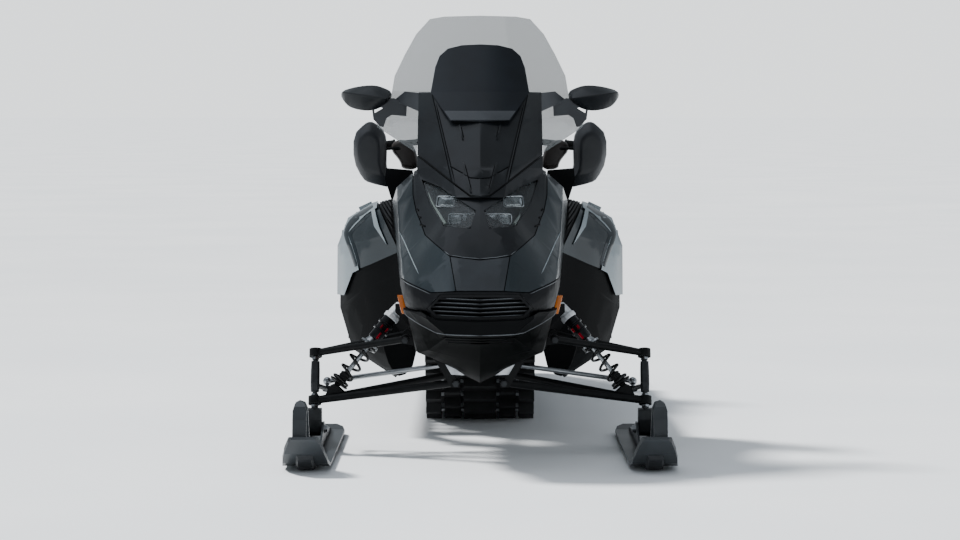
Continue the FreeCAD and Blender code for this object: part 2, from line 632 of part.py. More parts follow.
node("screen_ears", exact("ScreenEars", pair_of(ear_form(0))))

# Mirrors: a forked bracket on the ear, and a drop-shaped head.
BRACKET = [(240, 1124), (263, 1133), (283, 1141), (306, 1139), (357, 1141), (354, 1103), (350, 1072),
           (328, 1048), (317, 1046), (307, 1075), (290, 1086), (242, 1082)]
BRACKET_HOLE = [(350, 1121), (319, 1108), (346, 1092)]
bracket_y = -812
bracket_back = bracket_y + float(S.bracket_thick)
bracket = plate_xz(BRACKET, bracket_y, bracket_back)
bracket = bracket.cut(plate_xz(BRACKET_HOLE, bracket_y - 5, bracket_back + 5))
# A stay runs from the bracket's lower prong to the screen.
stay = rod((323, bracket_y + 10, 1058), (323, -756.8, 1058), 6)
node("mirror_brackets", exact("MirrorBrackets", pair_of(bracket.fuse(stay).cut(ear_form(gap)))))
HEAD = [(462, 1160), (440, 1118), (409, 1104), (362, 1098), (320, 1112), (292, 1138), (292, 1160),
        (310, 1172), (346, 1184), (409, 1178)]


def scaled(outline, middle, share):
    """The outline shrunk towards a middle point."""
    return [(middle[0] + (x - middle[0]) * share, middle[1] + (z - middle[1]) * share) for x, z in outline]


def tapered(outline, middle, rows):
    """A solid through copies of an outline. Columns of the rows: station y, share of the full size."""
    return Part.makeLoft([polygon([(x, y, z) for x, z in scaled(outline, middle, share)]) for y, share in rows],
                         True, True)


head = tapered(HEAD, (375, 1142), ((-850, 0.55), (-838, 0.82), (-812.6, 1.0), (-768, 1.0)))
head = head.cut(plate_xz(offset_outline(BRACKET, gap), -900, bracket_back + gap))
node("mirror_heads", exact("MirrorHeads", pieces_of(pair_of(head))))

# Gauge on the fairing's rear face, seen by the rider.
GAUGE_FRONT = symmetric([(0, 1076), (96, 1076), (104, 1000), (0, 990)])
GAUGE_FACE = symmetric([(0, 1064), (84, 1064), (92, 1004), (0, 996)])
gauge = Part.makeLoft([polygon([(x, y, z) for x, z in outline])
                       for y, outline in ((-795.2, GAUGE_FRONT), (-742, GAUGE_FACE))], True, True)
neck = Part.makeBox(80, 4.4, 60, Vector(-40, -799.7, 1005))
node("gauge", exact("Gauge", gauge.fuse(neck)))

# Tunnel: a folded sheet, open below and at the back, with a plate across its front.
half, thin = S.tunnel_half, S.tunnel_wall
long_tunnel = S.tunnel_back_y - S.tunnel_front_y
middle_y = (S.tunnel_back_y + S.tunnel_front_y) / 2
tunnel_outline = [(-half, S.tunnel_low), (thin - half, S.tunnel_low), (thin - half, S.tunnel_top - thin),
                  (half - thin, S.tunnel_top - thin), (half - thin, S.tunnel_low), (half, S.tunnel_low),
                  (half, S.tunnel_top), (-half, S.tunnel_top)]
tunnel = pad("Tunnel", "XZ_Plane", tunnel_outline, long_tunnel, (0, middle_y, 0))
front_plate = box("TunnelFront", (half * 2, thin, S.tunnel_top - S.tunnel_low),
                  (-half, S.tunnel_front_y, S.tunnel_low))
node("tunnel", fuse("TunnelSheet", [tunnel, front_plate]))

# Running boards with slots that let the snow through.
board_low_x = S.tunnel_half + S.fit_gap
board_long = S.board_back_y - S.board_front_y
board_body = box("Board", (S.board_width, board_long, S.board_thick),
                 (board_low_x, S.board_front_y, S.board_high))
lip_body = box("BoardLip", (S.board_thick, board_long, S.board_thick * 2),
               (board_low_x + S.board_width - S.board_thick, S.board_front_y, S.board_high))
slot_shapes = []
slot_start, slot_in, slot_columns = 120, 40, 2
slot_rows = int((float(board_long) - 200) / float(S.board_slot_pitch))
for i in range(slot_rows):
    for k in range(slot_columns):
        slot_low = (board_low_x + slot_in + k * S.board_slot_pitch,
                    S.board_front_y + slot_start + S.board_slot_pitch * i, S.board_high - S.board_thick)
        slot_shapes.append(box(f"Slot{i}_{k}", (S.board_slot_wide * 2, S.board_slot_long, S.board_thick * 3),
                               slot_low))
boards = cut("BoardLeft", fuse("BoardBlank", [board_body, lip_body]), fuse("BoardSlots", slot_shapes))
node("running_boards", both("Boards", boards))

# Track: a belt round the drive wheels, the rails' noses, the rear wheels and the top wheels.
belt_low = float(S.lug_high) + float(S.belt)
# Columns: y and z of the middle, radius of the belt's inner face, in the order that the belt meets them.
CIRCLES = [
    (float(S.rear_wheel_y), belt_low + float(S.rear_wheel_radius), float(S.rear_wheel_radius)),
    (float(S.top_wheel_y), float(S.top_wheel_high), float(S.top_wheel_radius)),
    (float(S.drive_y), float(S.drive_high), float(S.drive_radius)),
    (float(S.rail_front_y), belt_low + float(S.rail_nose_radius), float(S.rail_nose_radius)),
]


def belt_runs():
    """The straight runs between the circles: direction of the radius at both ends, start and end place."""
    runs = []
    for i, (ya, za, ra) in enumerate(CIRCLES):
        yb, zb, rb = CIRCLES[(i + 1) % len(CIRCLES)]
        far = math.hypot(yb - ya, zb - za)
        turn = math.atan2(zb - za, yb - ya) - math.acos((ra - rb) / far)
        runs.append((turn, (ya + ra * math.cos(turn), za + ra * math.sin(turn)),
                     (yb + rb * math.cos(turn), zb + rb * math.sin(turn))))
    return runs


def walk():
    """Arcs and runs of the loop in order, each with its kind, its length and what places a point on it."""
    runs = belt_runs()
    spans = []
    for i, (y, z, radius) in enumerate(CIRCLES):
        start, end = runs[i - 1][0], runs[i][0]
        sweep = (end - start) % (2 * math.pi)
        spans.append(("arc", radius * sweep, (y, z, radius, start, sweep)))
        spans.append(("run", math.dist(*runs[i][1:]), runs[i][1:]))
    return spans


def place_on(spans, distance, out):
    """The place at a distance along the loop, moved outwards."""
    for kind, long, data in spans:
        if distance <= long + 1e-9:
            if kind == "arc":
                y, z, radius, start, sweep = data
                angle = start + sweep * distance / long
                return (y + (radius + out) * math.cos(angle), z + (radius + out) * math.sin(angle))
            (ya, za), (yb, zb) = data
            share = distance / long
            normal = ((zb - za) / long, -(yb - ya) / long)
            return (ya + (yb - ya) * share + normal[0] * out, za + (zb - za) * share + normal[1] * out)
        distance -= long
    raise ValueError("the distance is longer than the loop")


spans = walk()
loop_long = sum(s[1] for s in spans)
pitch = loop_long / float(S.lug_count)


def ring(phase, with_lugs):
    """The belt's outer outline, with a tapered lug at each pitch where asked."""
    points = []
    share = float(S.lug_share)
    for i in range(int(S.lug_count.value)):
        base = (i + phase) * pitch
        steps = [(0, 0), (share * 0.25, 1), (share * 0.8, 1), (share, 0)]
        for along, high_share in steps if with_lugs else [(0, 0), (share, 0)]:
            out = float(S.belt) + float(S.lug_high) * high_share
            points.append(place_on(spans, (base + along * pitch) % loop_long, out))
    return points


inner_ring_points = []
arc_step = math.radians(6)
for kind, _, data in spans:
    if kind == "arc":
        y, z, radius, start, sweep = data
        steps = math.ceil(sweep / arc_step)
        turns = [start + sweep * k / steps for k in range(steps + 1)]
        inner_ring_points += [(y + radius * math.cos(a), z + radius * math.sin(a)) for a in turns]
half_track = float(S.track_width) / 2
# Columns: inner and outer share of the half width, start of the lugs as a share of a pitch.
COLUMNS = [(0.0, 0.3, 0.5), (0.36, 0.66, 0.0), (0.72, 1.0, 0.5)]
belt_side = plate_yz(ring(0, False), -half_track, half_track)
belt_hole = plate_yz(inner_ring_points, -half_track - 5, half_track + 5)
solid_track = belt_side
for low_share, high_share, phase in COLUMNS:
    lug_band = ring(phase, True)
    if low_share == 0:
        bands = [(-high_share, high_share)]
    else:
        bands = [(low_share, high_share), (-high_share, -low_share)]
    for a, b in bands:
        solid_track = solid_track.fuse(plate_yz(lug_band, a * half_track, b * half_track))
node("track", exact("Track", solid_track.cut(belt_hole).removeSplitter()))

# Slide rails inside the track, with their curved noses.
rail_low = belt_low + gap
nose_y, nose_r = float(S.rail_front_y), float(S.rail_nose_radius)
nose_mid = belt_low + nose_r
rail_side = []
for i in range(7):
    angle = math.radians(-90 - i * 9)
    rail_side.append((nose_y + (nose_r - gap) * math.cos(angle), nose_mid + (nose_r - gap) * math.sin(angle)))
rail_back_y = float(S.rear_wheel_y) - 20
rail_top = rail_low + float(S.rail_high)
rail_outline = [(rail_back_y, rail_low), *rail_side, (rail_side[-1][0] + 26, rail_side[-1][1] + 22),
                (nose_y + 20, rail_top + 6), (nose_y + 120, rail_top), (rail_back_y - 90, rail_top),
                (rail_back_y + 50, 148), (rail_back_y + 50, 116)]
rail_x, rail_thick = float(S.rail_x), float(S.rail_thick)
rail = plate_yz(rail_outline, rail_x - rail_thick / 2, rail_x + rail_thick / 2)
window_count, window_long, window_pitch, window_start, window_slant = 7, 70, 120, 60, 12
window_low, window_top = rail_low + 24, rail_top - 14
for i in range(window_count):
    y = window_start + i * window_pitch
    window = [(y, window_low), (y + window_long, window_low), (y + window_long - window_slant, window_top),
              (y + window_slant, window_top)]
    rail = rail.cut(plate_yz(window, rail_x - rail_thick, rail_x + rail_thick))
wheel_mid = belt_low + float(S.rear_wheel_radius)
axle_r = float(S.axle_radius)
rear_y = float(S.rear_wheel_y)
rail = rail.cut(rod((0, rear_y, wheel_mid), (200, rear_y, wheel_mid), axle_r + gap))
node("slide_rails", exact("SlideRails", pair_of(rail)))


def wheel(x, y, z, radius, bore_radius):
    """A moulded wheel with a hub, a thin web and a rubber rim, as one revolved profile."""
    wide_half = float(S.wheel_width) / 2
    hub, rim, web_half = bore_radius + 8, radius - 12, 5
    profile = [(bore_radius, -wide_half), (hub, -wide_half), (hub, -web_half), (rim, -web_half),
               (rim, -wide_half), (radius, -wide_half), (radius, wide_half), (rim, wide_half),
               (rim, web_half), (hub, web_half), (hub, wide_half), (bore_radius, wide_half)]
    face = Part.Face(polygon([(along, r, 0) for r, along in profile]))
    turned = face.revolve(Vector(), Vector(1, 0, 0), 360)
    turned.translate(Vector(x, y, z))
    return turned


# Wheels and axles of the slide suspension.
# Columns: label, y, z, wheel radius, wheel places along X, axle half length.
hang_half = float(S.tunnel_half) - float(S.tunnel_wall) - gap
AXLES = [
    ("rear_axle", float(S.rear_wheel_y), wheel_mid, float(S.rear_wheel_radius) - gap, (70, 150), 172),
    ("top_axle", float(S.top_wheel_y), float(S.top_wheel_high), float(S.top_wheel_radius) - gap, (52, 140),
     hang_half),
    ("drive_axle", float(S.drive_y), float(S.drive_high), float(S.drive_radius) - gap, (48, 132), hang_half),
]
for label, y, z, radius, places, half_long in AXLES:
    shape = rod((-half_long, y, z), (half_long, y, z), axle_r)
    wheels = [wheel(sign * x, y, z, radius, axle_r - 1) for x in places for sign in (-1, 1)]
    node(label, exact(label.title().replace("_", ""), shape.fuse(wheels)))
road_r = float(S.road_wheel_radius)
road_mid = belt_low + gap + road_r
stub_half = 14
road_x = rail_x + rail_thick / 2 + gap + stub_half
road_wheels = []
for y in (160, 470, 780):
    stub = rod((road_x - stub_half, y, road_mid), (road_x + stub_half, y, road_mid), 9)
    road_wheels.append(stub.fuse(wheel(road_x + 2, y, road_mid, road_r, 8)))
node("road_wheels", exact("RoadWheels", pair_of(Part.Compound(road_wheels))))

# Swing arms of the slide suspension: a tube across at each end and two side tubes, and a shock absorber
# between the cross tubes.
# Columns: label, y and z of the foot, y and z of the top, width between the legs' tops.
inner_half = rail_x - rail_thick / 2 - gap
cross_r, leg_r, foot_half = 13, 12, 60
slide_body_r, slide_rod_r, rod_share = 20, 8, 0.45
ARMS = [("front_swing_arm", -60, 92, -170, 318, 150), ("rear_swing_arm", 760, 92, 560, 314, 120)]
slide_dampers = []
for label, foot_y, foot_z, high_y, high_z, spread in ARMS:
    lower_tube = rod((-inner_half, foot_y, foot_z), (inner_half, foot_y, foot_z), cross_r)
    upper_tube = rod((-hang_half, high_y, high_z), (hang_half, high_y, high_z), cross_r)
    legs = [rod((sign * foot_half, foot_y, foot_z), (sign * spread / 2, high_y, high_z), leg_r)
            for sign in (-1, 1)]
    node(label, exact(label.title().replace("_", ""), lower_tube.fuse([upper_tube, *legs])))
    low, top = Vector(0, foot_y, foot_z), Vector(0, high_y, high_z)
    split = low + (top - low) * rod_share
    clear_tubes = [rod((-100, p.y, p.z), (100, p.y, p.z), cross_r + gap) for p in (low, top)]
    slide_dampers.append(rod(low, split, slide_rod_r).fuse(rod(split, top, slide_body_r)).cut(clear_tubes))
node("slide_shocks", exact("SlideShocks", pieces_of(Part.Compound(slide_dampers))))

# Front suspension arms. Each is two tubes from its bushes to a socket round the ball stud.
stance = float(S.ski_stance) / 2
low_ball = Vector(stance, float(S.lower_ball_y), float(S.lower_ball_high))
up_ball = Vector(stance, float(S.upper_ball_y), float(S.upper_ball_high))
king = (up_ball - low_ball).normalize()
king_long = (up_ball - low_ball).Length
socket_r, socket_h = float(S.socket_radius), float(S.socket_high)
stud_r = float(S.stud_radius)
bush_r, bush_long, pin_r = float(S.bush_radius), float(S.bush_long), float(S.pin_radius)


def arm(ball, pivot_x, pivot_z, front_y, back_y, tube_r, cover):
    """Two tubes from bushes to a socket, whose bore stops short of the socket's top by the cover."""
    parts = [Part.makeCylinder(socket_r, socket_h, ball - king * socket_h / 2, king)]
    bore_long = socket_h + 2 - cover
    tools = [Part.makeCylinder(stud_r + gap, bore_long, ball - king * (socket_h / 2 + 1), king)]
    for y, away in ((front_y, 1), (back_y, -1)):
        start = y + away * (plate / 2 + gap)
        bush = Part.makeCylinder(bush_r, bush_long, Vector(pivot_x, start, pivot_z), Vector(0, away, 0))
        middle = Vector(pivot_x, start + away * bush_long / 2, pivot_z)
        towards = (ball - middle).normalize()
        parts += [bush, rod(middle, ball - towards * (socket_r - 4), tube_r)]
        bore_start = Vector(pivot_x, start - away * 4, pivot_z)
        tools.append(Part.makeCylinder(pin_r + gap, bush_long + 8, bore_start, Vector(0, away, 0)))
    return parts[0].fuse(parts[1:]).cut(tools)


lower_arm = arm(low_ball, low_x, low_z, float(S.lower_front_y), float(S.lower_back_y),
                float(S.arm_tube_radius), 0)
upper_arm = arm(up_ball, up_x, up_z, float(S.upper_front_y), float(S.upper_back_y),
                float(S.upper_tube_radius), 8)
shock_low = Vector(float(S.shock_low_x), float(S.shock_y), float(S.shock_low_high))
shock_top = Vector(top_x, float(S.shock_top_y), top_z)
# Shock ear on the lower arm: a cross plate between the two tubes with two ears and a pin.
EAR = [(shock_low.x + across, z) for across, z in ((-70, 185), (26, 167), (30, 184), (14, 214), (0, 219),
                                                   (-8, 216), (-34, 192), (-70, 190))]
EAR_FLOOR = [(shock_low.x + across, z) for across, z in ((-34, 176), (22, 168), (22, 174), (-34, 182))]
ear_in, ear_out, ear_pin_r = 17, 23, 6
ears = [plate_xz(EAR, shock_low.y + ear_in, shock_low.y + ear_out),
        plate_xz(EAR, shock_low.y - ear_out, shock_low.y - ear_in),
        plate_xz(EAR_FLOOR, shock_low.y - ear_out, shock_low.y + ear_out)]
ear_pin = Part.makeCylinder(ear_pin_r, 2 * ear_out, shock_low - Vector(0, ear_out, 0), Vector(0, 1, 0))
lower_arm = lower_arm.fuse([*ears, ear_pin])
node("lower_arms", exact("LowerArms", pair_of(lower_arm)))


def web(ball, pivot_x, pivot_z, front_y, back_y, share, thick):
    """A flat web between an arm's two tubes, from near its ball to a share of their length."""
    front, back = Vector(pivot_x, front_y, pivot_z), Vector(pivot_x, back_y, pivot_z)
    across_arm = (front - ball).cross(back - ball).normalize()
    spots = [ball + (end - ball) * s for s, end in ((0.1, front), (share, front), (share, back), (0.1, back))]
    face = Part.Face(polygon([tuple(p - across_arm * thick / 2) for p in spots]))
    return face.extrude(across_arm * thick)


arm_web = web(up_ball, up_x, up_z, float(S.upper_front_y), float(S.upper_back_y), 0.45, 9)
socket_hole = Part.makeCylinder(stud_r + gap, socket_h, up_ball - king * (socket_h / 2 + 1), king)
node("upper_arms", exact("UpperArms", pair_of(upper_arm.fuse(arm_web).cut(socket_hole))))

# Shock absorber: a rod below, a body above with its adjuster, an eye at each end, and a coil spring round it.
along = (shock_top - shock_low).normalize()
eye_half, eye_r = 15, 13
low_eye = Part.makeCylinder(eye_r, 2 * eye_half, shock_low - Vector(0, eye_half, 0), Vector(0, 1, 0))
top_eye = Part.makeCylinder(eye_r, 2 * eye_half - 1, shock_top - Vector(0, eye_half - 1, 0), Vector(0, 1, 0))
shock_long = (shock_top - shock_low).Length
body_r, cup_r = float(S.shock_body_radius), float(S.spring_radius) + 5
body_start, body_end = shock_low + along * shock_long * 0.53, shock_top - along * 32
neck_end = body_start + along * 26
low_cup, top_cup = shock_low + along * 26, body_start
shock_shape = low_eye.fuse([top_eye, rod(shock_low + along * 8, body_start, S.shock_rod_radius),
                            rod(body_start, neck_end, body_r - 6), rod(neck_end, body_end, body_r),
                            rod(body_end, shock_top - along * 8, 11), rod(low_cup - along * 5, low_cup, cup_r),
                            rod(top_cup, top_cup + along * 8, cup_r), rod(low_cup, low_cup + along * 34, 14)])
# Adjuster rings round the body. Columns: share of the body's length, length, how far the ring stands out.
for share, ring_long, proud in ((0.3, 8, 5), (0.55, 8, 5), (0.82, 16, 4)):
    ring_low = neck_end + (body_end - neck_end) * share
    shock_shape = shock_shape.fuse(rod(ring_low, ring_low + along * ring_long, body_r + proud))
eye_bores = [Part.makeCylinder(radius, 60, eye - Vector(0, 30, 0), Vector(0, 1, 0))
             for eye, radius in ((shock_low, ear_pin_r + gap), (shock_top, pin_r + gap))]
shock_shape = shock_shape.cut(eye_bores)
node("shock_absorbers", exact("ShockAbsorbers", pair_of(shock_shape)))


def coil(start, end, radius, wire, turns, steps=14):
    """A coil spring with a six-sided section, in straight lengths, round the line between two points."""
    axis = (end - start).normalize()
    side_a = axis.cross(Vector(0, 1, 0)).normalize()
    side_b = axis.cross(side_a)
    long = (end - start).Length
    sections = []
    count = int(turns * steps)
    for i in range(count + 1):
        angle = 2 * math.pi * i / steps
        outward = side_a * math.cos(angle) + side_b * math.sin(angle)
        middle = start + axis * (long * i / count) + outward * radius
        turns_of = [k * math.pi / 3 for k in range(6)]
        corners_of = [middle + outward * (wire * math.cos(a)) + axis * (wire * math.sin(a)) for a in turns_of]
        sections.append(polygon(corners_of))
    return Part.makeLoft(sections, True, True)


spring_wire = float(S.spring_wire)
spring_turns = 4
spring = coil(low_cup + along * (spring_wire + gap), top_cup - along * (spring_wire + gap),
              float(S.spring_radius), spring_wire, spring_turns)
node("springs", exact("Springs", pair_of(spring)))

# Skis: a bent sheet with a keel, two ribs, a saddle for the bolt and a strap handle over the tip.
base, sheet_t = float(S.ski_base), float(S.ski_sheet)
tip_y, tail_y, bend_y = float(S.front_y), float(S.ski_tail_y), float(S.ski_bend_y)
rise = float(S.ski_tip_rise)
bolt_y, bolt_z = float(S.bolt_y), float(S.bolt_high)
under = [(tail_y, base + 12), (tail_y - 60, base), (bend_y, base), (bend_y - 55, base + 16),
         (bend_y - 105, base + 50), (tip_y + 4, base + rise - 8)]
over = [(tip_y + 10, base + rise), (bend_y - 98, base + 60), (bend_y - 50, base + 26),
        (bend_y + 4, base + sheet_t), (tail_y - 58, base + sheet_t), (tail_y, base + 22)]
ski_half = float(S.ski_width) / 2
blade = plate_yz(under + over, -ski_half, ski_half)
tip_half = float(S.ski_tip_width) / 2
half_plan = [(0, tail_y), (ski_half - 30, tail_y), (ski_half - 8, tail_y - 26), (ski_half, tail_y - 70),
             (ski_half, bend_y + 20), (ski_half - 7, tip_y + 74), (tip_half, tip_y + 38),
             (tip_half - 14, tip_y + 12), (tip_half - 30, tip_y), (0, tip_y)]
plan = symmetric(half_plan)
plan_prism = Part.Face(polygon([(x, y, -20) for x, y in plan])).extrude(Vector(0, 0, 400))
ski = blade.common(plan_prism)
keel_start, keel_end, keel_top = float(S.keel_start_y), float(S.keel_end_y), base + 2
keel_wires = []
# Columns: station y, width as a share of the keel's, height of its underside.
for y, share, low in ((keel_start - 70, 0.7, 8.0), (keel_start, 1.0, 0.0), (keel_end, 1.0, 0.0),
                      (keel_end + 60, 0.7, 8.0)):
    half_wide = float(S.keel_width) / 2 * share
    keel_wires.append(polygon([(-half_wide, y, keel_top), (7 - half_wide, y, low), (half_wide - 7, y, low),
                               (half_wide, y, keel_top)]))
ski = ski.fuse(Part.makeLoft(keel_wires, True, True))
rib_in, rib_t = float(S.ski_rib_x), float(S.ski_rib)
rib_high, saddle_high = float(S.ski_rib_high), float(S.saddle_high)
saddle_half = float(S.saddle_half)
rib_low = base + sheet_t - 2
RIB = [(bend_y + 40, rib_low), (tail_y - 70, rib_low), (tail_y - 110, rib_low + 16),
       (bolt_y + saddle_half + 90, rib_high), (bolt_y + saddle_half, saddle_high - 14),
       (bolt_y + 22, saddle_high), (bolt_y - 22, saddle_high), (bolt_y - saddle_half, saddle_high - 14),
       (bolt_y - saddle_half - 90, rib_high), (bend_y + 70, rib_low + 14)]
for sign in (-1, 1):
    ski = ski.fuse(plate_yz(RIB, sign * rib_in, sign * (rib_in + rib_t)))
# Handle: a strap bent like a tall arch, from the tip back to the ski's top face, off the ski's middle.
# Columns: outer place (y, z), then how far the inner place lies from it along Y and down.
strap, arch_top = float(S.handle_thick), float(S.handle_high)
ARCH = [(tip_y + 26, base + rise - 22, strap, 12), (tip_y + 40, arch_top - 56, strap, 0),
        (tip_y + 58, arch_top - 18, strap, strap), (tip_y + 86, arch_top, 0, strap),
        (tip_y + 116, arch_top - 8, -strap, strap), (tip_y + 150, arch_top - 46, -strap, strap),
        (bend_y + 96, base + sheet_t + 2, -strap - 6, 0)]
band = [(y, z) for y, z, _, _ in ARCH] + [(y + back, z - down) for y, z, back, down in reversed(ARCH)]
strap_half = float(S.handle_width) / 2
rounded_top = symmetric([(0, 0), (strap_half, 0), (strap_half, arch_top - 30), (strap_half - 6, arch_top - 10),
                         (0, arch_top)])
handle = plate_yz(band, -strap_half, strap_half).common(plate_xz(rounded_top, tip_y - 10, bend_y + 200))
handle.translate(Vector(float(S.handle_outwards), 0, 0))
ski = ski.fuse(handle)
bolt_r = float(S.bolt_radius)
ski = ski.fuse(rod((-rib_in - rib_t - 6, bolt_y, bolt_z), (rib_in + rib_t + 6, bolt_y, bolt_z), bolt_r))
ski.translate(Vector(stance, 0, 0))
node("ski_left", exact("SkiLeft", ski))
node("ski_right", mirrored("SkiRight", NODES[-1]))

# Spindles: a leg between the two ball studs, a fork over the ski bolt and a steering arm.
leg_wide, leg_deep = float(S.leg_width), float(S.leg_deep)
turn_to_king = Rotation(Vector(0, 0, 1), king)


def along_king(shape):
    shape.Placement = Placement(low_ball, turn_to_king).multiply(shape.Placement)
    return shape


leg_clear = socket_h / 2 + 17
leg_wires = []
# Columns: distance up the leg as a share, width and depth of the section as shares.
for share, wide_s, deep_s in ((0.0, 0.8, 0.6), (0.25, 0.86, 1.0), (0.7, 0.86, 0.85), (1.0, 0.8, 0.7)):
    z = leg_clear + (king_long - 2 * leg_clear) * share
    a, b = leg_wide / 2 * wide_s, leg_deep / 2 * deep_s
    eight_sided = [(-1, -0.6), (-0.6, -1), (0.6, -1), (1, -0.6), (1, 0.6), (0.6, 1), (-0.6, 1), (-1, 0.6)]
    leg_wires.append(polygon([(a * p, b * q, z) for p, q in eight_sided]))
leg = along_king(Part.makeLoft(leg_wires, True, True))
stud = Part.makeCylinder(stud_r, king_long + 24, low_ball - king * 30, king)
knee = low_ball - king * 12
foot_outline = [(knee.y - 20, knee.z + 4), (knee.y + 22, knee.z + 4), (bolt_y + 22, bolt_z + 18),
                (bolt_y + 20, bolt_z - 14), (bolt_y + 8, bolt_z - 21), (bolt_y - 12, bolt_z - 21),
                (bolt_y - 24, bolt_z - 8), (bolt_y - 34, bolt_z + 34)]
# The foot stops short of the socket above it.
foot_leg = plate_yz(foot_outline, stance - rib_in + 1.5, stance + rib_in - 1.5)
above = Part.makeBox(200, 200, 200, Vector(stance - 100, low_ball.y - 100, low_ball.z - 26))
foot_leg = foot_leg.cut(above)
arm_ball = Vector(float(S.arm_ball_x), float(S.arm_ball_y), float(S.arm_ball_high))
root_of_arm = low_ball + king * 52
arm_end = Part.makeCylinder(15, 14, arm_ball - king * 7, king)
steer_arm = rod(tuple(root_of_arm), tuple(arm_ball), 8).fuse(arm_end)
spindle = leg.fuse([stud, foot_leg, steer_arm])
spindle = spindle.cut([rod((stance - 60, bolt_y, bolt_z), (stance + 60, bolt_y, bolt_z), bolt_r + gap),
                       Part.makeCylinder(5 + gap, 60, arm_ball - king * 30, king)])
node("spindle_left", exact("SpindleLeft", spindle))
node("spindle_right", mirrored("SpindleRight", NODES[-1]))

# Tie rods: each hangs from its steering arm on a ball stud, and runs in to the steering linkage.
tie_in = Vector(float(S.tie_rod_inner_x), float(S.tie_rod_inner_y), float(S.tie_rod_inner_high))
tie_out = arm_ball + king * 26
tie = rod(tuple(tie_out), tuple(tie_in), float(S.tie_rod_radius))
tie = tie.fuse([Part.makeSphere(14, tie_out), Part.makeSphere(12, tie_in),
                Part.makeCylinder(5, 35, tie_out - king * 35, king)])
node("tie_rod_left", exact("TieRodLeft", tie))
node("tie_rod_right", mirrored("TieRodRight", NODES[-1]))

# Steering: column, bar, grips, guards and the control blocks beside the grips.
bar_z = float(S.column_high) + 6
grip_start, grip_end = float(S.grip_start_x), float(S.grip_end_x)
BAR = [(0, -392, bar_z), (105, -394, bar_z), (235, -404, bar_z - 16), (grip_end - 4, -386, bar_z - 36)]
column_long = float(S.column_long)
column = Part.makeCylinder(float(S.column_radius), column_long, column_top - column_axis * column_long,
                           column_axis)
clamp = Part.makeBox(84, 44, 40, Vector(-42, -414, bar_z - 26))
bar_half = tube_run(BAR, float(S.bar_radius))
bar = column.fuse([clamp, bar_half, other_side(bar_half)])
node("handlebar", exact("Handlebar", bar))
bar_dir = (Vector(*BAR[3]) - Vector(*BAR[2])).normalize()
bar_mid = Vector(*BAR[2])


def on_bar(x):
    return bar_mid + bar_dir * ((x - bar_mid.x) / bar_dir.x)


grip_hole = rod(tuple(on_bar(200)), tuple(on_bar(grip_end + 40)), float(S.bar_radius) + gap)
grip = rod(tuple(on_bar(grip_start)), tuple(on_bar(grip_end)), float(S.grip_radius)).cut(grip_hole)
node("grips", exact("Grips", pair_of(grip)))
BLOCK = [(212, 905), (222, 962), (246, 992), (275, 997), (287, 985), (287, 962), (276, 950), (264, 930),
         (262, 905)]
block = plate_xz(BLOCK, -452, -372).cut(grip_hole)
LEVER = [(262, -440, 968), (292, -462, 972), (392, -452, 962)]
block = block.fuse(tube_run(LEVER, 6)).cut(rod(BAR[1], BAR[2], float(S.bar_radius) + gap))
node("controls", exact("Controls", pair_of(block)))
GUARD = [(374, 1063), (391, 1056), (431, 1016), (431, 928), (400, 868), (378, 856), (300, 838), (320, 900),
         (318, 978), (325, 1025), (355, 1052)]
guard_wall = float(S.guard_wall)


def guard_form(by, front_y, back_y):
    outline = offset_outline(GUARD, by) if by else GUARD
    rows = [(front_y, 0.72), (front_y + 22, 0.94), (front_y + 45, 1.0), (back_y, 1.0)]
    return tapered(outline, (380, 965), rows)


guard_front, guard_back = -540, -440
guard = guard_form(0, guard_front, guard_back)
guard = guard.cut(guard_form(-guard_wall, guard_front + guard_wall, guard_back + 10))
end_of_bar = on_bar(grip_end)
stay_out = rod((grip_end + 2, end_of_bar.y, end_of_bar.z), (grip_end + 2, -470, end_of_bar.z), 7)
stay_out = stay_out.fuse(rod((grip_end + 2, -470, end_of_bar.z), (431 - guard_wall + 1, -470, end_of_bar.z), 7))
bar_hole = rod(tuple(on_bar(330)), tuple(on_bar(grip_end + 30)), float(S.bar_radius) + gap)
guard = guard.fuse(stay_out).cut(bar_hole)
guard = guard.cut(rod(tuple(on_bar(grip_start)), tuple(on_bar(grip_end)), float(S.grip_radius) + gap))
guard = guard.cut(rod(LEVER[1], LEVER[2], 6 + gap))
node("hand_guards", exact("HandGuards", pieces_of(pair_of(guard), 3000)))

# Seat for two, with a backrest for the passenger.
# Columns: y, top half width, top, shoulder half width, shoulder, foot half width.
seat_top, rear_top = float(S.seat_top), float(S.passenger_top)
RIDER = [(-261.7, 70, seat_top - 2, 112, seat_top - 44, 150),
         (-60, 105, seat_top - 10, 150, seat_top - 55, 168),
         (180, 140, seat_top - 14, 172, seat_top - 58, 178),
         (410, 148, seat_top + 2, 178, seat_top - 45, 182)]
PASSENGER = [(410.5, 140, rear_top - 22, 172, rear_top - 76, 182),
             (470, 150, rear_top, 178, rear_top - 45, 182),
             (820, 150, rear_top + 4, 178, rear_top - 40, 182),
             (880, 138, rear_top - 8, 168, rear_top - 60, 176)]
node("rider_seat", exact("RiderSeat", across(RIDER)))
node("passenger_seat", exact("PassengerSeat", across(PASSENGER)))
back_y = float(S.backrest_y)
pad_low, pad_top = rear_top + 60, float(S.backrest_top)
PAD_FRONT = symmetric([(0, pad_top - 20), (110, pad_top - 30), (130, pad_low + 40), (90, pad_low + 14),
                       (0, pad_low + 8)])
PAD_BACK = symmetric([(0, pad_top), (122, pad_top - 12), (146, pad_low + 30), (100, pad_low), (0, pad_low - 6)])
back_pad = Part.makeLoft([polygon([(x, y, z) for x, z in outline])
                          for y, outline in ((back_y - 40, PAD_FRONT), (back_y - 3.3, PAD_BACK))], True, True)
node("backrest", exact("Backrest", back_pad))
hoop_foot = float(S.tunnel_top) + gap
hoop_r = 12
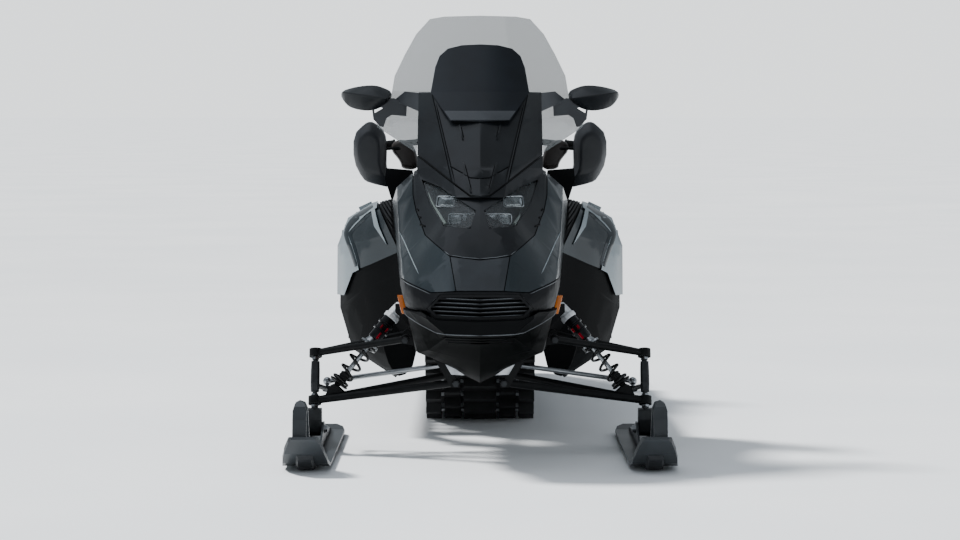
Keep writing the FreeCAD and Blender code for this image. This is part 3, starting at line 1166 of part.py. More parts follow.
HOOP = [(0, back_y + 9, pad_top - 40), (96, back_y + 9, pad_top - 44), (118, back_y + 9, pad_low + 30),
        (118, back_y + 14, 700), (118, back_y + 14, hoop_foot)]
GRAB = [(118, back_y + 14, 700), (218, back_y - 10, 720), (222, back_y - 330, 742), (222, back_y - 350, 700),
        (222, back_y - 350, float(S.board_high) + float(S.board_thick) + gap)]
hoop = tube_run(HOOP, hoop_r).fuse(tube_run(GRAB, hoop_r))
hoop = hoop.fuse(other_side(hoop))
node("grab_rail", exact("GrabRail", hoop))

# Rear end: deck with its rack, tail lamp, snow flap and bumper loop.
deck_y, deck_end = 985, float(S.tunnel_back_y)
rack_z = float(S.tunnel_top) + 62
RACK = [(0, deck_end + 120, rack_z), (120, deck_end + 120, rack_z), (165, deck_end + 60, rack_z),
        (165, deck_y, rack_z), (165, deck_y, float(S.tunnel_top) + gap)]
rack_half = tube_run(RACK, 10)
rack_parts = [other_side(rack_half)]
for y in (deck_y + 110, deck_y + 220, deck_y + 330):
    rack_parts.append(rod((-165, y, rack_z), (165, y, rack_z), 8))
    if y < deck_end - 20:
        rack_parts += [rod((s * 140, y, rack_z), (s * 140, y, float(S.tunnel_top) + gap), 8) for s in (-1, 1)]
# Cargo plate on the rack's cross bars, with slots for straps.
plate_low = rack_z + 8 - gap
cargo_plate = Part.makeBox(300, 300, 4, Vector(-150, deck_y + 90, plate_low))
for x, y in ((-120, 120), (80, 120), (-120, 330), (80, 330)):
    cargo_plate = cargo_plate.cut(Part.makeBox(40, 16, 20, Vector(x, deck_y + y, plate_low - 8)))
rack_parts.append(cargo_plate)
node("rear_rack", exact("RearRack", rack_half.fuse(rack_parts)))
LAMP_LENS = symmetric([(0, 470), (110, 474), (118, 500), (100, 528), (0, 532)])
LAMP_BACK = symmetric([(0, 440), (204, 440), (207, 545), (0, 545)])
lamp_base = plate_xz(LAMP_BACK, deck_end + gap, deck_end + 6)
node("tail_lamp", exact("TailLamp", plate_xz(LAMP_LENS, deck_end + gap, deck_end + 34).fuse(lamp_base)))
flap_y, flap_end = deck_end + 6 + gap, float(S.rear_y)
FLAP = [(flap_y, 440), (flap_y, 466), (deck_end + 60, 440), (deck_end + 150, 330), (flap_end - 20, 185),
        (flap_end, 120), (flap_end - 7, 118), (flap_end - 28, 178), (deck_end + 140, 322),
        (deck_end + 54, 430)]
node("snow_flap", exact("SnowFlap", plate_yz(FLAP, -190, 190)))
bumper_z, bumper_r = 428, 12
bumper_x = float(S.tunnel_half) + gap + bumper_r
BUMPER = [(bumper_x, 1120, bumper_z), (bumper_x, deck_end + 90, bumper_z),
          (bumper_x - 50, deck_end + 132, bumper_z), (0, deck_end + 132, bumper_z)]
bumper_half = tube_run(BUMPER, bumper_r)
tongue = Part.makeBox(64, 84, 12, Vector(-32, deck_end + 126, bumper_z - 6))
tongue = tongue.cut(Part.makeCylinder(8, 30, Vector(0, deck_end + 182, bumper_z - 15)))
node("rear_bumper", exact("RearBumper", bumper_half.fuse([other_side(bumper_half), tongue])))

# Amber side markers: wedges that stand out from the body just ahead of the shock absorbers.
MARKER = [(-1228, 464), (-1188, 464), (-1176, 520), (-1206, 520)]
marker_proud = 17
marker = shell_solid(marker_proud, 0).cut(shell_solid(gap, 0)).common(plate_yz(MARKER, 150, 400))
node("side_markers", exact("SideMarkers", pair_of(marker)))

doc.recompute()
bad = [o.Name for o in doc.Objects if "Invalid" in o.State or "Error" in o.State]
if bad:
    raise RuntimeError(f"these objects failed: {bad}")
os.makedirs("parts", exist_ok=True)
for thing in NODES:
    shape = thing.Shape
    if shape.isNull() or not shape.isValid() or not shape.Solids:
        bad.append(thing.Label)
        continue
    shape.exportStep(f"parts/{thing.Label}.step")
if bad:
    raise RuntimeError(f"these sub-parts have no valid solid: {bad}")
print(len(NODES), "sub-parts")
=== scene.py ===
"""A touring snowmobile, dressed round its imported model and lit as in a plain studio.

Lengths are metres. The front is at -Y, the vehicle's left side at +X, the floor at z = 0.
"""
import json
import math

import bmesh
import bpy
import numpy as np
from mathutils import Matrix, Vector
from mathutils.bvhtree import BVHTree


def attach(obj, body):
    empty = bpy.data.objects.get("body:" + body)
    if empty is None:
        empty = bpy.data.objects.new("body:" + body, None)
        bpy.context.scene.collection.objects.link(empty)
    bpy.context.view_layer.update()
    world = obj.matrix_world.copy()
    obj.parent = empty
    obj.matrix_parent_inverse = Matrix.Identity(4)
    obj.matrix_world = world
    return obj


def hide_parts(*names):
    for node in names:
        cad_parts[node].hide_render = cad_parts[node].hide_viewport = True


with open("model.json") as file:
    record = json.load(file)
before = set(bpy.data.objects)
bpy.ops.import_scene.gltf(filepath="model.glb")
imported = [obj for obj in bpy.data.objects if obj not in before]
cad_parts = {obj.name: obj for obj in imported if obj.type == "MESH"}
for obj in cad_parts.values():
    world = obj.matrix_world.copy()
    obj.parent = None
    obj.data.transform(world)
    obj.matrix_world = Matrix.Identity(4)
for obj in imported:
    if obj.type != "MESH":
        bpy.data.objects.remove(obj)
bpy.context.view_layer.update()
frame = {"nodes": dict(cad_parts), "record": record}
nodes = frame["nodes"]
scene = bpy.context.scene
MM = 0.001


def linear(hex_colour):
    """An sRGB hex colour as linear red, green, blue and alpha."""
    values = [int(hex_colour[i:i + 2], 16) / 255 for i in (1, 3, 5)]
    return tuple(v / 12.92 if v <= 0.04045 else ((v + 0.055) / 1.055) ** 2.4 for v in values) + (1,)


def assign(thing, **values):
    """A thing with some of its properties set."""
    for name, value in values.items():
        setattr(thing, name, value)
    return thing


def placed(name, data):
    """A new object in the scene that shows a mesh, a camera or a lamp."""
    made = bpy.data.objects.new(name, data)
    scene.collection.objects.link(made)
    return made


def add(tree, kind, settings=None, **sockets):
    """Adds a node with some properties. Its sockets, with _ for a space, take values or are fed by other nodes."""
    node = assign(tree.nodes.new("ShaderNode" + kind), **(settings or {}))
    for name, value in sockets.items():
        socket = node.inputs[name.replace("_", " ")]
        if isinstance(value, bpy.types.NodeSocket):
            tree.links.new(value, socket)
        else:
            socket.default_value = value
    return node


def new_material(name, **sockets):
    """A material with some of its shader's sockets set, its node tree, its shader and its object coordinates."""
    material = bpy.data.materials.new(name)
    material.use_nodes = True
    tree = material.node_tree
    tree.nodes.clear()
    shader = add(tree, "BsdfPrincipled", **sockets)
    add(tree, "OutputMaterial", Surface=shader.outputs["BSDF"])
    return material, tree, shader, add(tree, "TexCoord").outputs["Object"]


def varied(tree, place, dark, light, cell_mm, detail=3, low=0.35, high=0.65):
    """A colour that wanders between two hex values, with noise cells of a real size, and the noise itself."""
    noise = add(tree, "TexNoise", Scale=1000 / cell_mm, Detail=detail, Vector=place).outputs["Fac"]
    ramp = add(tree, "ValToRGB", Fac=noise)
    for stop, position, colour in zip(ramp.color_ramp.elements, (low, high), (dark, light)):
        assign(stop, position=position, color=linear(colour))
    return ramp.outputs["Color"], noise


def bumped(tree, shader, height, depth_mm, strength=1):
    """Wires a height as bump of a real depth."""
    bump = add(tree, "Bump", Strength=strength, Distance=depth_mm * MM, Height=height)
    tree.links.new(bump.outputs["Normal"], shader.inputs["Normal"])


def finished(name, dark, light, cell_mm, roughness, grain_mm=None, depth_mm=0, detail=3, pale=None, share=0.35,
             stretch=None, **sockets):
    """A material whose colour and roughness wander together, with pale convex edges and a grain where asked."""
    material, tree, shader, place = new_material(name, **sockets)
    if stretch:
        place = add(tree, "Mapping", Scale=stretch, Vector=place).outputs["Vector"]
    colour, noise = varied(tree, place, dark, light, cell_mm, detail)
    if pale:
        point = add(tree, "NewGeometry").outputs["Pointiness"]
        edge = add(tree, "MapRange", From_Min=0.54, From_Max=0.66, To_Max=share, Value=point).outputs["Result"]
        colour = add(tree, "Mix", {"data_type": "RGBA"}, Factor=edge, A=colour, B=linear(pale)).outputs["Result"]
    spread = add(tree, "MapRange", To_Min=roughness[0], To_Max=roughness[1], Value=noise)
    tree.links.new(colour, shader.inputs["Base Color"])
    tree.links.new(spread.outputs["Result"], shader.inputs["Roughness"])
    if grain_mm:
        cells = add(tree, "TexNoise", Scale=1000 / grain_mm, Detail=2, Vector=place)
        bumped(tree, shader, cells.outputs["Fac"], depth_mm)
    return material, tree, shader, place


def moulded_plastic(name, dark, light, roughness, grain_mm=1.2, depth_mm=0.05, specular=0.3, coat=0, pale=None):
    """Injection-moulded plastic: even colour, a fine spark-eroded grain, soft highlights."""
    return finished(name, dark, light, 110, roughness, grain_mm, depth_mm, pale=pale, IOR=1.49, Coat_Roughness=0.1,
                    Specular_IOR_Level=specular, Coat_Weight=coat)[0]


def bare_metal(name, dark, light, roughness, metallic=1, grain_mm=None, specular=0.5, brushed_axis=None):
    """Machined, brushed, coated or plated metal, with its streaks along one axis where it is brushed."""
    stretch = None if brushed_axis is None else [0.15 if k == brushed_axis else 5.5 for k in range(3)]
    return finished(name, dark, light, 25, roughness, grain_mm, 0.12, stretch=stretch, Metallic=metallic,
                    Specular_IOR_Level=specular)[0]


def metallic_paint(name, base, light, roughness, metallic):
    """Flake paint under clear lacquer: the colour drifts slowly, and small flakes glint in it."""
    material, tree, shader, place = new_material(name, Metallic=metallic, Roughness=roughness, Coat_Weight=0.35,
                                                 Coat_Roughness=0.08, Specular_IOR_Level=0.35)
    colour, _ = varied(tree, place, base, light, 400, 1, 0.3, 0.75)
    # Real flakes are 0.05 mm. They are drawn at 1.1 mm, so that a render shows them.
    flakes = add(tree, "TexVoronoi", Scale=900, Vector=place).outputs["Color"]
    mixed = add(tree, "Mix", {"data_type": "RGBA", "blend_type": "OVERLAY"}, Factor=0.12, A=colour, B=flakes)
    tree.links.new(mixed.outputs["Result"], shader.inputs["Base Color"])
    return material


def clear_sheet(name, tint, alpha, roughness):
    """Clear or smoked polycarbonate: see-through with a sharp gloss, and faint smears in it."""
    return assign(finished(name, tint, tint, 300, roughness, IOR=1.58, Alpha=alpha)[0],
                  surface_render_method="BLENDED")


def moulded_rubber(name, dark, light):
    """Vulcanised rubber: dull, slightly greyed on its high spots, with a coarse mould texture."""
    return finished(name, dark, light, 33, (0.62, 0.82), 3, 0.3, 5, "#3a3b3c", 0.4, Specular_IOR_Level=0.3)[0]


def coated_fabric(name, dark, light):
    """Coated seat fabric: a pebbled skin with cells of 2.5 mm, as coarse as a render shows, and a low sheen."""
    material, tree, shader, place = finished(name, dark, light, 70, (0.5, 0.62), Sheen_Weight=0.08,
                                             Sheen_Roughness=0.5, Specular_IOR_Level=0.3)
    pebbles = add(tree, "TexVoronoi", Scale=1000 / 2.5, Vector=place)
    bumped(tree, shader, pebbles.outputs["Distance"], 0.25, 0.35)
    return material


# Columns: key, finish, dark and light colour, roughness range, and where they differ from most plastics the grain's
# cell and depth in millimetres, the specular level, the coat's weight and the colour of worn edges.
PLASTICS = [
    # Satin-painted black body panels: soft wide highlights under a thin coat.
    ("hood_gloss", "satin_black_abs_panel", "#0f1114", "#15181b", (0.3, 0.38), 1, 0.02, 0.2, 0.08),
    # Charcoal centre strip, a shade lighter than the black panels beside it.
    ("nose_charcoal", "charcoal_abs_panel", "#1f2226", "#262a2e", (0.32, 0.4), 1, 0.02, 0.3, 0.15),
    # A dark blue-black tinted shield, glossier than the panels round it.
    ("tinted_shield", "dark_tinted_acrylic_shield", "#090d12", "#0e1319", (0.3, 0.36), 3, 0.01, 0.2),
    # Mid-grey glass-filled nylon of brackets and screen ears. The band on the deflector's lip wears it too, as a
    # painted highlight.
    ("bracket_grey", "grey_nylon_bracket", "#292c30", "#34373b", (0.4, 0.52)),
    # The pan under the nose, which only snow polishes. It is drawn darker than the other black polyethylene: painted
    # shade for the shadow under the nose.
    ("pan_black", "black_polyethylene_belly", "#030404", "#050606", (0.46, 0.58), 1.6, 0.05, 0.03),
    # Pale grey of the beads along black panels' edges and the grille's bars: a painted highlight where their edge
    # radii catch the light.
    ("edge_grey", "rubbed_black_plastic_edge", "#3f4347", "#54595d", (0.34, 0.42), 1, 0.02, 0.4),
    # Textured polypropylene trim, with a visible grain.
    ("trim_black", "grained_black_polypropylene", "#0d0e10", "#131416", (0.46, 0.6), 1.2, 0.06, 0.12, 0, "#2a2b2d"),
    # Tough polyethylene pan, bumper and skis: waxy black, scuffed pale at its edges.
    ("belly_black", "black_polyethylene_pan", "#060708", "#0a0b0c", (0.42, 0.54), 1.6, 0.05, 0.05, 0, "#1a1b1d"),
    # Ski plastic is the same family, greyer where snow has polished it, and its keel is worn.
    ("ski_grey", "grey_black_ski_polyethylene", "#282b2e", "#34383b", (0.34, 0.46), 1.6, 0.04, 0.4, 0, "#4a4e52"),
    ("keel_grey", "worn_keel_polyethylene", "#1b1d1f", "#292b2e", (0.42, 0.55), 1.6),
    # Lamp trays, and the frosted rods that carry light down their outer edges.
    ("lamp_tray", "dark_grey_lamp_tray", "#1d2022", "#26292b", (0.35, 0.45), 1.2, 0.03),
    ("light_guide", "frosted_light_guide", "#4a5350", "#5f6865", (0.2, 0.3), 2, 0.02, 0.4, 0.4),
    # Nylon of wheels, guards and controls, and the piping on the seats.
    ("rail_plastic", "black_nylon_wheel", "#101112", "#18191b", (0.4, 0.5)),
    ("guard_grey", "satin_black_nylon_guard", "#1c1e21", "#25272a", (0.34, 0.44), 1.2, 0.03, 0.28),
    ("control_brown", "brown_black_nylon_control", "#231f1e", "#2f2a28", (0.4, 0.5), 1.2, 0.04, 0.35),
    ("piping_vinyl", "grey_seat_piping", "#2f3235", "#3d4043", (0.45, 0.55), 1.5, 0.03),
    # Coloured lamp lenses, and the instrument's glass.
    ("red_lens", "red_acrylic_lens", "#7d0c0a", "#9a1512", (0.12, 0.18), 2, 0.02, 0.5, 0.6),
    ("amber_lens", "amber_acrylic_lens", "#b85c0c", "#d0761c", (0.14, 0.2), 2, 0.02, 0.5, 0.6),
    ("screen_glass", "dark_display_glass", "#05070a", "#0a0d11", (0.05, 0.08), 5, 0, 0.5, 0.8),
]
# Columns: key, finish, dark and light colour, roughness range, and where they differ from most metals the metallic
# share, the grain's cell in millimetres, the specular level and the axis of brushing.
METALS = [
    # Lamp reflectors and lenses, and the mirrors' glass.
    ("lamp_reflector", "vacuum_metallised_reflector", "#6f7578", "#a4a9ac", (0.16, 0.26)),
    ("lamp_lens", "faceted_lamp_cell", "#62686b", "#9ca2a4", (0.12, 0.2)),
    ("mirror_glass", "silvered_mirror_glass", "#c9ced1", "#d6dadc", (0.02, 0.04)),
    # Coated and cast metals of the frame and the engine.
    ("frame_metal", "black_powder_coat_steel", "#0a0b0c", "#101112", (0.42, 0.55), 0, 1.5, 0.12),
    ("cast_arm", "grey_cast_alloy_spindle", "#1c1e20", "#2a2d2f", (0.42, 0.55), 0.5, 2),
    ("engine_grey", "sand_cast_aluminium", "#55575a", "#76797c", (0.5, 0.7), 1, 2),
    # Anodised and polished aluminium.
    ("bare_aluminium", "natural_anodised_aluminium", "#8d9093", "#b6b9bc", (0.28, 0.4)),
    ("tunnel_metal", "black_anodised_sheet", "#101214", "#1a1c1f", (0.36, 0.48), 0.6, None, 0.5, 1),
    ("shock_black", "black_anodised_shock_body", "#0c0d10", "#15171a", (0.24, 0.32), 0.7),
    ("cast_cap", "polished_cast_shock_cap", "#c4c8cb", "#e4e7e9", (0.26, 0.36), 0.35),
    ("red_anodised", "red_anodised_adjuster", "#7a0c1c", "#a31528", (0.22, 0.3)),
    # Enamelled and plated steel.
    ("spring_steel", "black_enamelled_spring_steel", "#08090a", "#0f1011", (0.22, 0.32), 0.3),
    ("chrome_steel", "zinc_plated_rod", "#7d8083", "#a2a5a8", (0.24, 0.34), 1, None, 0.5, 0),
    ("dark_bolt", "black_zinc_bolt", "#1c1d1f", "#2b2d2f", (0.34, 0.45), 0.8),
]
MATERIALS = {
    **{key: moulded_plastic(*row) for key, *row in PLASTICS},
    **{key: bare_metal(*row) for key, *row in METALS},
    # Blue-grey flake paint under lacquer on the side panels and footwell fronts.
    "panel_teal": metallic_paint("slate_flake_paint", "#131c21", "#1d272c", 0.34, 0.45),
    # Pale grey flake paint on the thin blades behind the panels, and on the crease beads, where it is a painted
    # highlight.
    "panel_silver": metallic_paint("silver_grey_flake_paint", "#737d82", "#8b9599", 0.4, 0.3),
    # Clear and smoked sheets.
    "clear_lens": clear_sheet("smoked_polycarbonate_lamp_cover", "#1c2225", 0.16, (0.12, 0.16)),
    "clear_screen": clear_sheet("lightly_smoked_polycarbonate_screen", "#5c6366", 0.5, (0.03, 0.06)),
    # The rubber of the track, the flap and the grips, and the seats' covering.
    "rubber": moulded_rubber("black_track_rubber", "#0c0d0e", "#161718"),
    "seat_vinyl": coated_fabric("black_seat_vinyl", "#0f1012", "#17181b"),
}

# A few nodes show another finish than the rest of their slot.
OWN_FINISH = {"nose_panel": "nose_charcoal", "headlamp_units": "lamp_tray", "ski_left": "ski_grey",
              "ski_right": "ski_grey", "spindle_left": "cast_arm", "spindle_right": "cast_arm",
              "windscreen_fairing": "hood_gloss", "deflector": "tinted_shield", "mirror_brackets": "bracket_grey",
              "screen_ears": "bracket_grey", "belly_pan": "pan_black"}
slots_of = {entry["node"]: entry["material_slot"] for entry in frame["record"]["subparts"]}
for name, node in nodes.items():
    node.data.materials.clear()
    node.data.materials.append(MATERIALS[OWN_FINISH.get(name, slots_of[name])])


def soften(width_mm, *names):
    """Rounds the sharp edges of CAD nodes by a small radius, as moulds and press tools leave them."""
    for name in names:
        modifiers = nodes[name].modifiers
        modifiers.new("weld", "WELD").merge_threshold = 2e-5
        assign(modifiers.new("edge", "BEVEL"), width=width_mm * MM, segments=2, limit_method="ANGLE",
               angle_limit=math.radians(28), harden_normals=True, use_clamp_overlap=True)


soften(2.2, "windscreen_fairing", "console")
soften(2, "ski_left", "ski_right", "spindle_left", "spindle_right", "snow_flap", "slide_rails")
soften(1.2, "grille", "screen_ears", "mirror_brackets", "gauge", "side_vents", "side_markers")
soften(1, "tunnel", "running_boards", "front_frame", "rear_rack", "lower_arms", "upper_arms")


# A surface is a pair of points, in millimetres, and faces.

def unit(vectors):
    """Vectors scaled to length one."""
    vectors = np.asarray(vectors, float)
    return vectors / np.maximum(np.linalg.norm(vectors, axis=-1, keepdims=True), 1e-9)


def lattice(rows, cols, wrap_rows=False, wrap_cols=False):
    """The quads of a grid of rows by cols points, closed on itself either way where asked."""
    i = np.arange(rows if wrap_rows else rows - 1)[:, None]
    j = np.arange(cols if wrap_cols else cols - 1)[None, :]
    up, right = (i + 1) % rows, (j + 1) % cols
    return np.stack([i * cols + j, i * cols + right, up * cols + right, up * cols + j], axis=-1).reshape(-1, 4)


def joined(parts):
    """Several surfaces, each (points, faces), as one."""
    points, faces, start = [], [], 0
    for part_points, part_faces in parts:
        points.append(np.asarray(part_points, float))
        faces += [[start + int(k) for k in face] for face in part_faces]
        start += len(part_points)
    return np.concatenate(points), faces


def rings(grid):
    """A closed skin over a stack of rings: grid(i, j) is point j of ring i, and each end is one face."""
    grid = np.asarray(grid, float)
    rows, cols = grid.shape[:2]
    faces = lattice(rows, cols, wrap_cols=True).tolist()
    faces += [list(range(cols))[::-1], list(range((rows - 1) * cols, rows * cols))]
    return grid.reshape(-1, 3), faces


def circle(count):
    """Cosines and sines of equal steps round a circle."""
    angle = np.linspace(0, 2 * np.pi, count, endpoint=False)
    return np.cos(angle), np.sin(angle)


def tube(path, radius, sides=16, ref=(0, 0, 1)):
    """A round profile along a path: point = path + radius (cos a across + sin a up), with across square to ref."""
    path = np.asarray(path, float)
    tangent = unit(np.gradient(path, axis=0))
    across = unit(np.cross(tangent, ref))
    up = np.cross(across, tangent)
    cos, sin = circle(sides)
    ring = cos[None, :, None] * across[:, None] + sin[None, :, None] * up[:, None]
    return rings(path[:, None] + np.reshape(np.broadcast_to(radius, len(path)), (-1, 1, 1)) * ring)


def lathe(profile, start, axis, count=32):
    """A profile of (distance along an axis, radius) turned round the axis from a start point."""
    profile, axis = np.asarray(profile, float), unit(axis)
    across = unit(np.cross(axis, (0, 0, 1) if abs(axis[2]) < 0.9 else (1, 0, 0)))
    cos, sin = circle(count)
    ring = cos[:, None] * across + sin[:, None] * np.cross(axis, across)
    return rings(np.asarray(start, float) + profile[:, 0, None, None] * axis + profile[:, 1, None, None] * ring)


def corner_cut(outline, times=3, closed=True):
    """An outline with its corners cut: each edge keeps its middle half, again and again, towards a smooth curve."""
    line = np.asarray(outline, float)
    for _ in range(times):
        after = np.roll(line, -1, axis=0) if closed else line[1:]
        here = line if closed else line[:-1]
        cut = np.stack([0.75 * here + 0.25 * after, 0.25 * here + 0.75 * after], axis=1).reshape(-1, line.shape[1])
        line = cut if closed else np.concatenate([line[:1], cut, line[-1:]])
    return line


def level(line, y):
    """A line of (x, z) places as points at one y."""
    return np.column_stack([line[:, 0], np.full(len(line), y), line[:, 1]])


def level_rings(outline, middle, rows):
    """Rings across Y from an outline of (x, z) places. Each row (y, share) shrinks it towards the middle."""
    outline = np.asarray(outline, float)
    return np.stack([level(middle + (outline - middle) * share, y) for y, share in rows])


def run_along(line):
    """How far along a line each of its points lies."""
    return np.concatenate([[0], np.cumsum(np.linalg.norm(np.diff(line, axis=0), axis=1))])


def places_at(line, at):
    """The places at given distances along a line."""
    run = run_along(line)
    return np.stack([np.interp(at, run, line[:, k]) for k in range(line.shape[1])], axis=1)


def resampled(line, step):
    """Points at equal steps along an open line."""
    line = np.asarray(line, float)
    long = run_along(line)[-1]
    return places_at(line, np.linspace(0, long, max(2, int(round(long / step)) + 1)))


def vertex_rows(mesh, field="co"):
    """A mesh's points, or their normals, as rows of three."""
    flat = np.empty(len(mesh.vertices) * 3)
    mesh.vertices.foreach_get(field, flat)
    return flat.reshape(-1, 3)


def cleaned(mesh, gap, inset_mm=0):
    """Merges a mesh's doubles, turns its normals outwards, and moves its points in along them."""
    form = bmesh.new()
    form.from_mesh(mesh)
    bmesh.ops.remove_doubles(form, verts=form.verts, dist=gap)
    bmesh.ops.recalc_face_normals(form, faces=form.faces)
    if inset_mm:
        form.normal_update()
        for vert in form.verts:
            vert.co -= vert.normal * inset_mm * MM
    form.to_mesh(mesh)
    form.free()


def piece(name, surface, finish, body="chassis", stands_for=(), both=True, smooth=True, sharp=35):
    """A finished piece that rides on a body, from one surface or a list, with its mirror image if on both sides."""
    points, faces = joined(surface) if isinstance(surface, list) else surface
    if both:
        mirrored = np.asarray(points) * (-1, 1, 1), [list(face)[::-1] for face in faces]
        points, faces = joined([(points, faces), mirrored])
    mesh = bpy.data.meshes.new(name)
    mesh.from_pydata((np.asarray(points) * MM).tolist(), [], [list(map(int, face)) for face in faces])
    cleaned(mesh, 1e-6)
    if smooth:
        mesh.shade_smooth()
        mesh.set_sharp_from_angle(angle=math.radians(sharp))
    mesh.materials.append(MATERIALS[finish])
    made = placed(name, mesh)
    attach(made, body)
    if stands_for:
        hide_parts(*stands_for)
    return made


def look_up(surfaces):
    """Surfaces as one tree, for casting rays and finding the nearest place."""
    points, faces = joined(surfaces)
    return BVHTree.FromPolygons(points.tolist(), faces)


def mesh_surface(mesh):
    """A mesh as a surface."""
    return vertex_rows(mesh) / MM, [list(polygon.vertices) for polygon in mesh.polygons]


def node_tree(*names):
    """CAD nodes as one tree."""
    return look_up([mesh_surface(nodes[name].data) for name in names])


def from_front(tree, x, z):
    """Where a line of sight along +Y through (x, z) first meets a tree, and the outward normal there, or None."""
    spot, normal, _, _ = tree.ray_cast(Vector((x, -1800, z)), Vector((0, 1, 0)))
    if spot is None:
        return None
    normal = np.array(normal)
    return np.array(spot), normal if normal[1] < 0 else -normal


def laid_on(tree, spots, lift=0, shift=(0, 0, 0)):
    """Where sight lines through (x, z) spots meet a tree, moved out along its normal, and by a shift."""
    hits = filter(None, (from_front(tree, *spot) for spot in spots))
    return np.array([place + normal * lift + shift for place, normal in hits])


def eased(line, at):
    """Rows of points at places along y, on a cubic through each column whose slopes are those of its neighbours."""
    y = np.array([row[0] for row in line], float)
    form = np.array([row[1] for row in line], float)
    slope = np.gradient(form, y, axis=0)
    k = np.clip(np.searchsorted(y, at) - 1, 0, len(y) - 2)
    long = (y[k + 1] - y[k])[:, None, None]
    t = ((at - y[k]) / (y[k + 1] - y[k]))[:, None, None]
    return ((1 + 2 * t) * (1 - t) ** 2 * form[k] + t * (1 - t) ** 2 * long * slope[k]
            + t ** 2 * (3 - 2 * t) * form[k + 1] + t ** 2 * (t - 1) * long * slope[k + 1])


def body_form(stations, rounding):
    """The smooth body surface through the stations, its outlines' corners cut a few times, as a tree to look up."""
    at = np.arange(stations[0][0], stations[-1][0] + 0.1, 4)
    outlines = eased([(y, corner_cut(outline, rounding, closed=False)) for y, outline in stations], at)
    across = np.linspace(0, 1, 5)[None, :, None]
    strips = []
    for k in range(outlines.shape[1] - 1):
        strip = outlines[:, k:k + 1] * (1 - across) + outlines[:, k + 1:k + 2] * across
        grid = np.stack([strip[..., 0], np.repeat(at[:, None], 5, axis=1), strip[..., 1]], axis=-1).reshape(-1, 3)
        strips += [(grid * (sign, 1, 1), lattice(len(at), 5)) for sign in (1, -1)]
    return look_up(strips)


OFF_CREASE, SAME_WAY = 0.2, 0.75


def smooth_panel(name, form, reach):
    """A CAD panel as a new piece, shaded by the smooth body form where that faces nearly the same way."""
    mesh = nodes[name].data.copy()
    mesh.name = name + "_skin"
    mesh.shade_smooth()
    corners = []
    for polygon in mesh.polygons:
        centre, flat = polygon.center / MM, polygon.normal
        for k in polygon.vertices:
            # A little towards the face's middle the form's normal is the one on this side of a crease.
            spot = mesh.vertices[k].co / MM
            _, normal, _, _ = form.find_nearest(spot + (centre - spot) * OFF_CREASE, reach)
            if normal is None:
                normal = flat
            elif normal.dot(flat) < 0:
                normal = -normal
            corners.append(tuple(normal if normal.dot(flat) > SAME_WAY else flat))
    mesh.normals_split_custom_set(corners)
    made = placed(name + "_skin", mesh)
    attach(made, "chassis")
    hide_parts(name)


# The body's half outlines at stations along y, from the keel line round to the middle, as the CAD has them.
SHELL = [
    (-1490, [(0, 556), (73, 556), (118, 546), (150, 512), (150, 478), (85, 424), (0, 421)]),
    (-1420, [(0, 648), (88, 650), (150, 600), (205, 555), (205, 495), (120, 395), (0, 380)]),
    (-1340, [(0, 745), (90, 742), (160, 672), (232, 590), (236, 520), (160, 360), (0, 320)]),
    (-1260, [(0, 822), (85, 815), (171, 713), (245, 640), (246, 545), (195, 345), (0, 270)]),
    (-1150, [(0, 893), (120, 880), (202, 784), (254, 700), (252, 548), (205, 345), (0, 238)]),
    (-1050, [(0, 930), (150, 925), (207, 895), (264, 806), (256, 552), (208, 345), (0, 230)]),
    (-950, [(0, 938), (160, 932), (212, 905), (268, 854), (260, 556), (210, 345), (0, 230)]),
    (-760, [(0, 905), (140, 900), (205, 880), (290, 800), (268, 560), (215, 345), (0, 235)]),
]
FLANK = [
    (-759.5, [(212, 876), (290, 800), (289, 760), (281, 690), (268, 560), (246, 460), (217, 350)]),
    (-640, [(206, 826), (326, 797), (372, 742), (396, 660), (394, 500), (350, 330), (240, 245)]),
    (-500, [(205, 782), (362, 782), (445, 732), (480, 640), (482, 430), (440, 285), (290, 185)]),
    (-440, [(205, 768), (356, 768), (440, 724), (476, 636), (478, 430), (436, 290), (290, 195)]),
]
shell_form, flank_form = body_form(SHELL, 1), body_form(FLANK, 2)
for name in ("hood", "nose_panel", "side_panels", "nose_surround", "belly_pan", "front_bumper"):
    smooth_panel(name, shell_form, 7)
for name in ("fenders", "fender_rims", "flank_panels"):
    smooth_panel(name, flank_form, 12)

# Dark strips behind the panels' seams, where the real panels have a folded edge.
SEAMS = [[(0, 644), (92, 655), (171, 713), (188, 754), (202, 784), (213, 832), (215, 905)], [(73, 553), (92, 655)],
         [(0, 553), (73, 553), (150, 547), (237, 578), (262, 577)], [(134, 440), (163, 492), (240, 488)]]
SEAM_HALF, SEAM_DEPTH, SEAM_THICK = 9, 6.2, 2
shell_tree = node_tree("hood", "nose_panel", "side_panels", "nose_surround", "belly_pan", "headlamp_covers")


def seam_backing(line):
    """A strip behind a seam: at each point of the line, the skin a little to both sides, moved inwards."""
    line = resampled(line, 9)
    side = unit(np.gradient(line, axis=0))[:, ::-1] * (1, -1)
    rows = []
    for spot, across in zip(line, side):
        hits = [from_front(shell_tree, *(spot + s * SEAM_HALF * across)) for s in (1, -1)]
        if None not in hits:
            rows.append([place - normal * SEAM_DEPTH for place, normal in hits])
    return rings(np.concatenate([rows, (np.array(rows) + (0, SEAM_THICK, 0))[:, ::-1]], axis=1))


piece("seam_backing", [seam_backing(line) for line in SEAMS], "belly_black", smooth=False)

# Front shock absorbers, from the ski up: eye, spring cup, bellows, rod, collar, body with adjusters, cast cap.
shock_low, shock_top = np.array((470, -1000, 206)), np.array((262, -925, 462))
shock_axis = unit(shock_top - shock_low)
shock_long = float(np.linalg.norm(shock_top - shock_low))
collar_at = 0.53 * shock_long
neck_at, body_end = collar_at + 26, shock_long - 32
body_long = body_end - neck_at


def on_shock(profile, count=40):
    """A profile of (distance up the shock absorber, radius) turned round its axis."""
    return lathe(profile, shock_low, shock_axis, count)


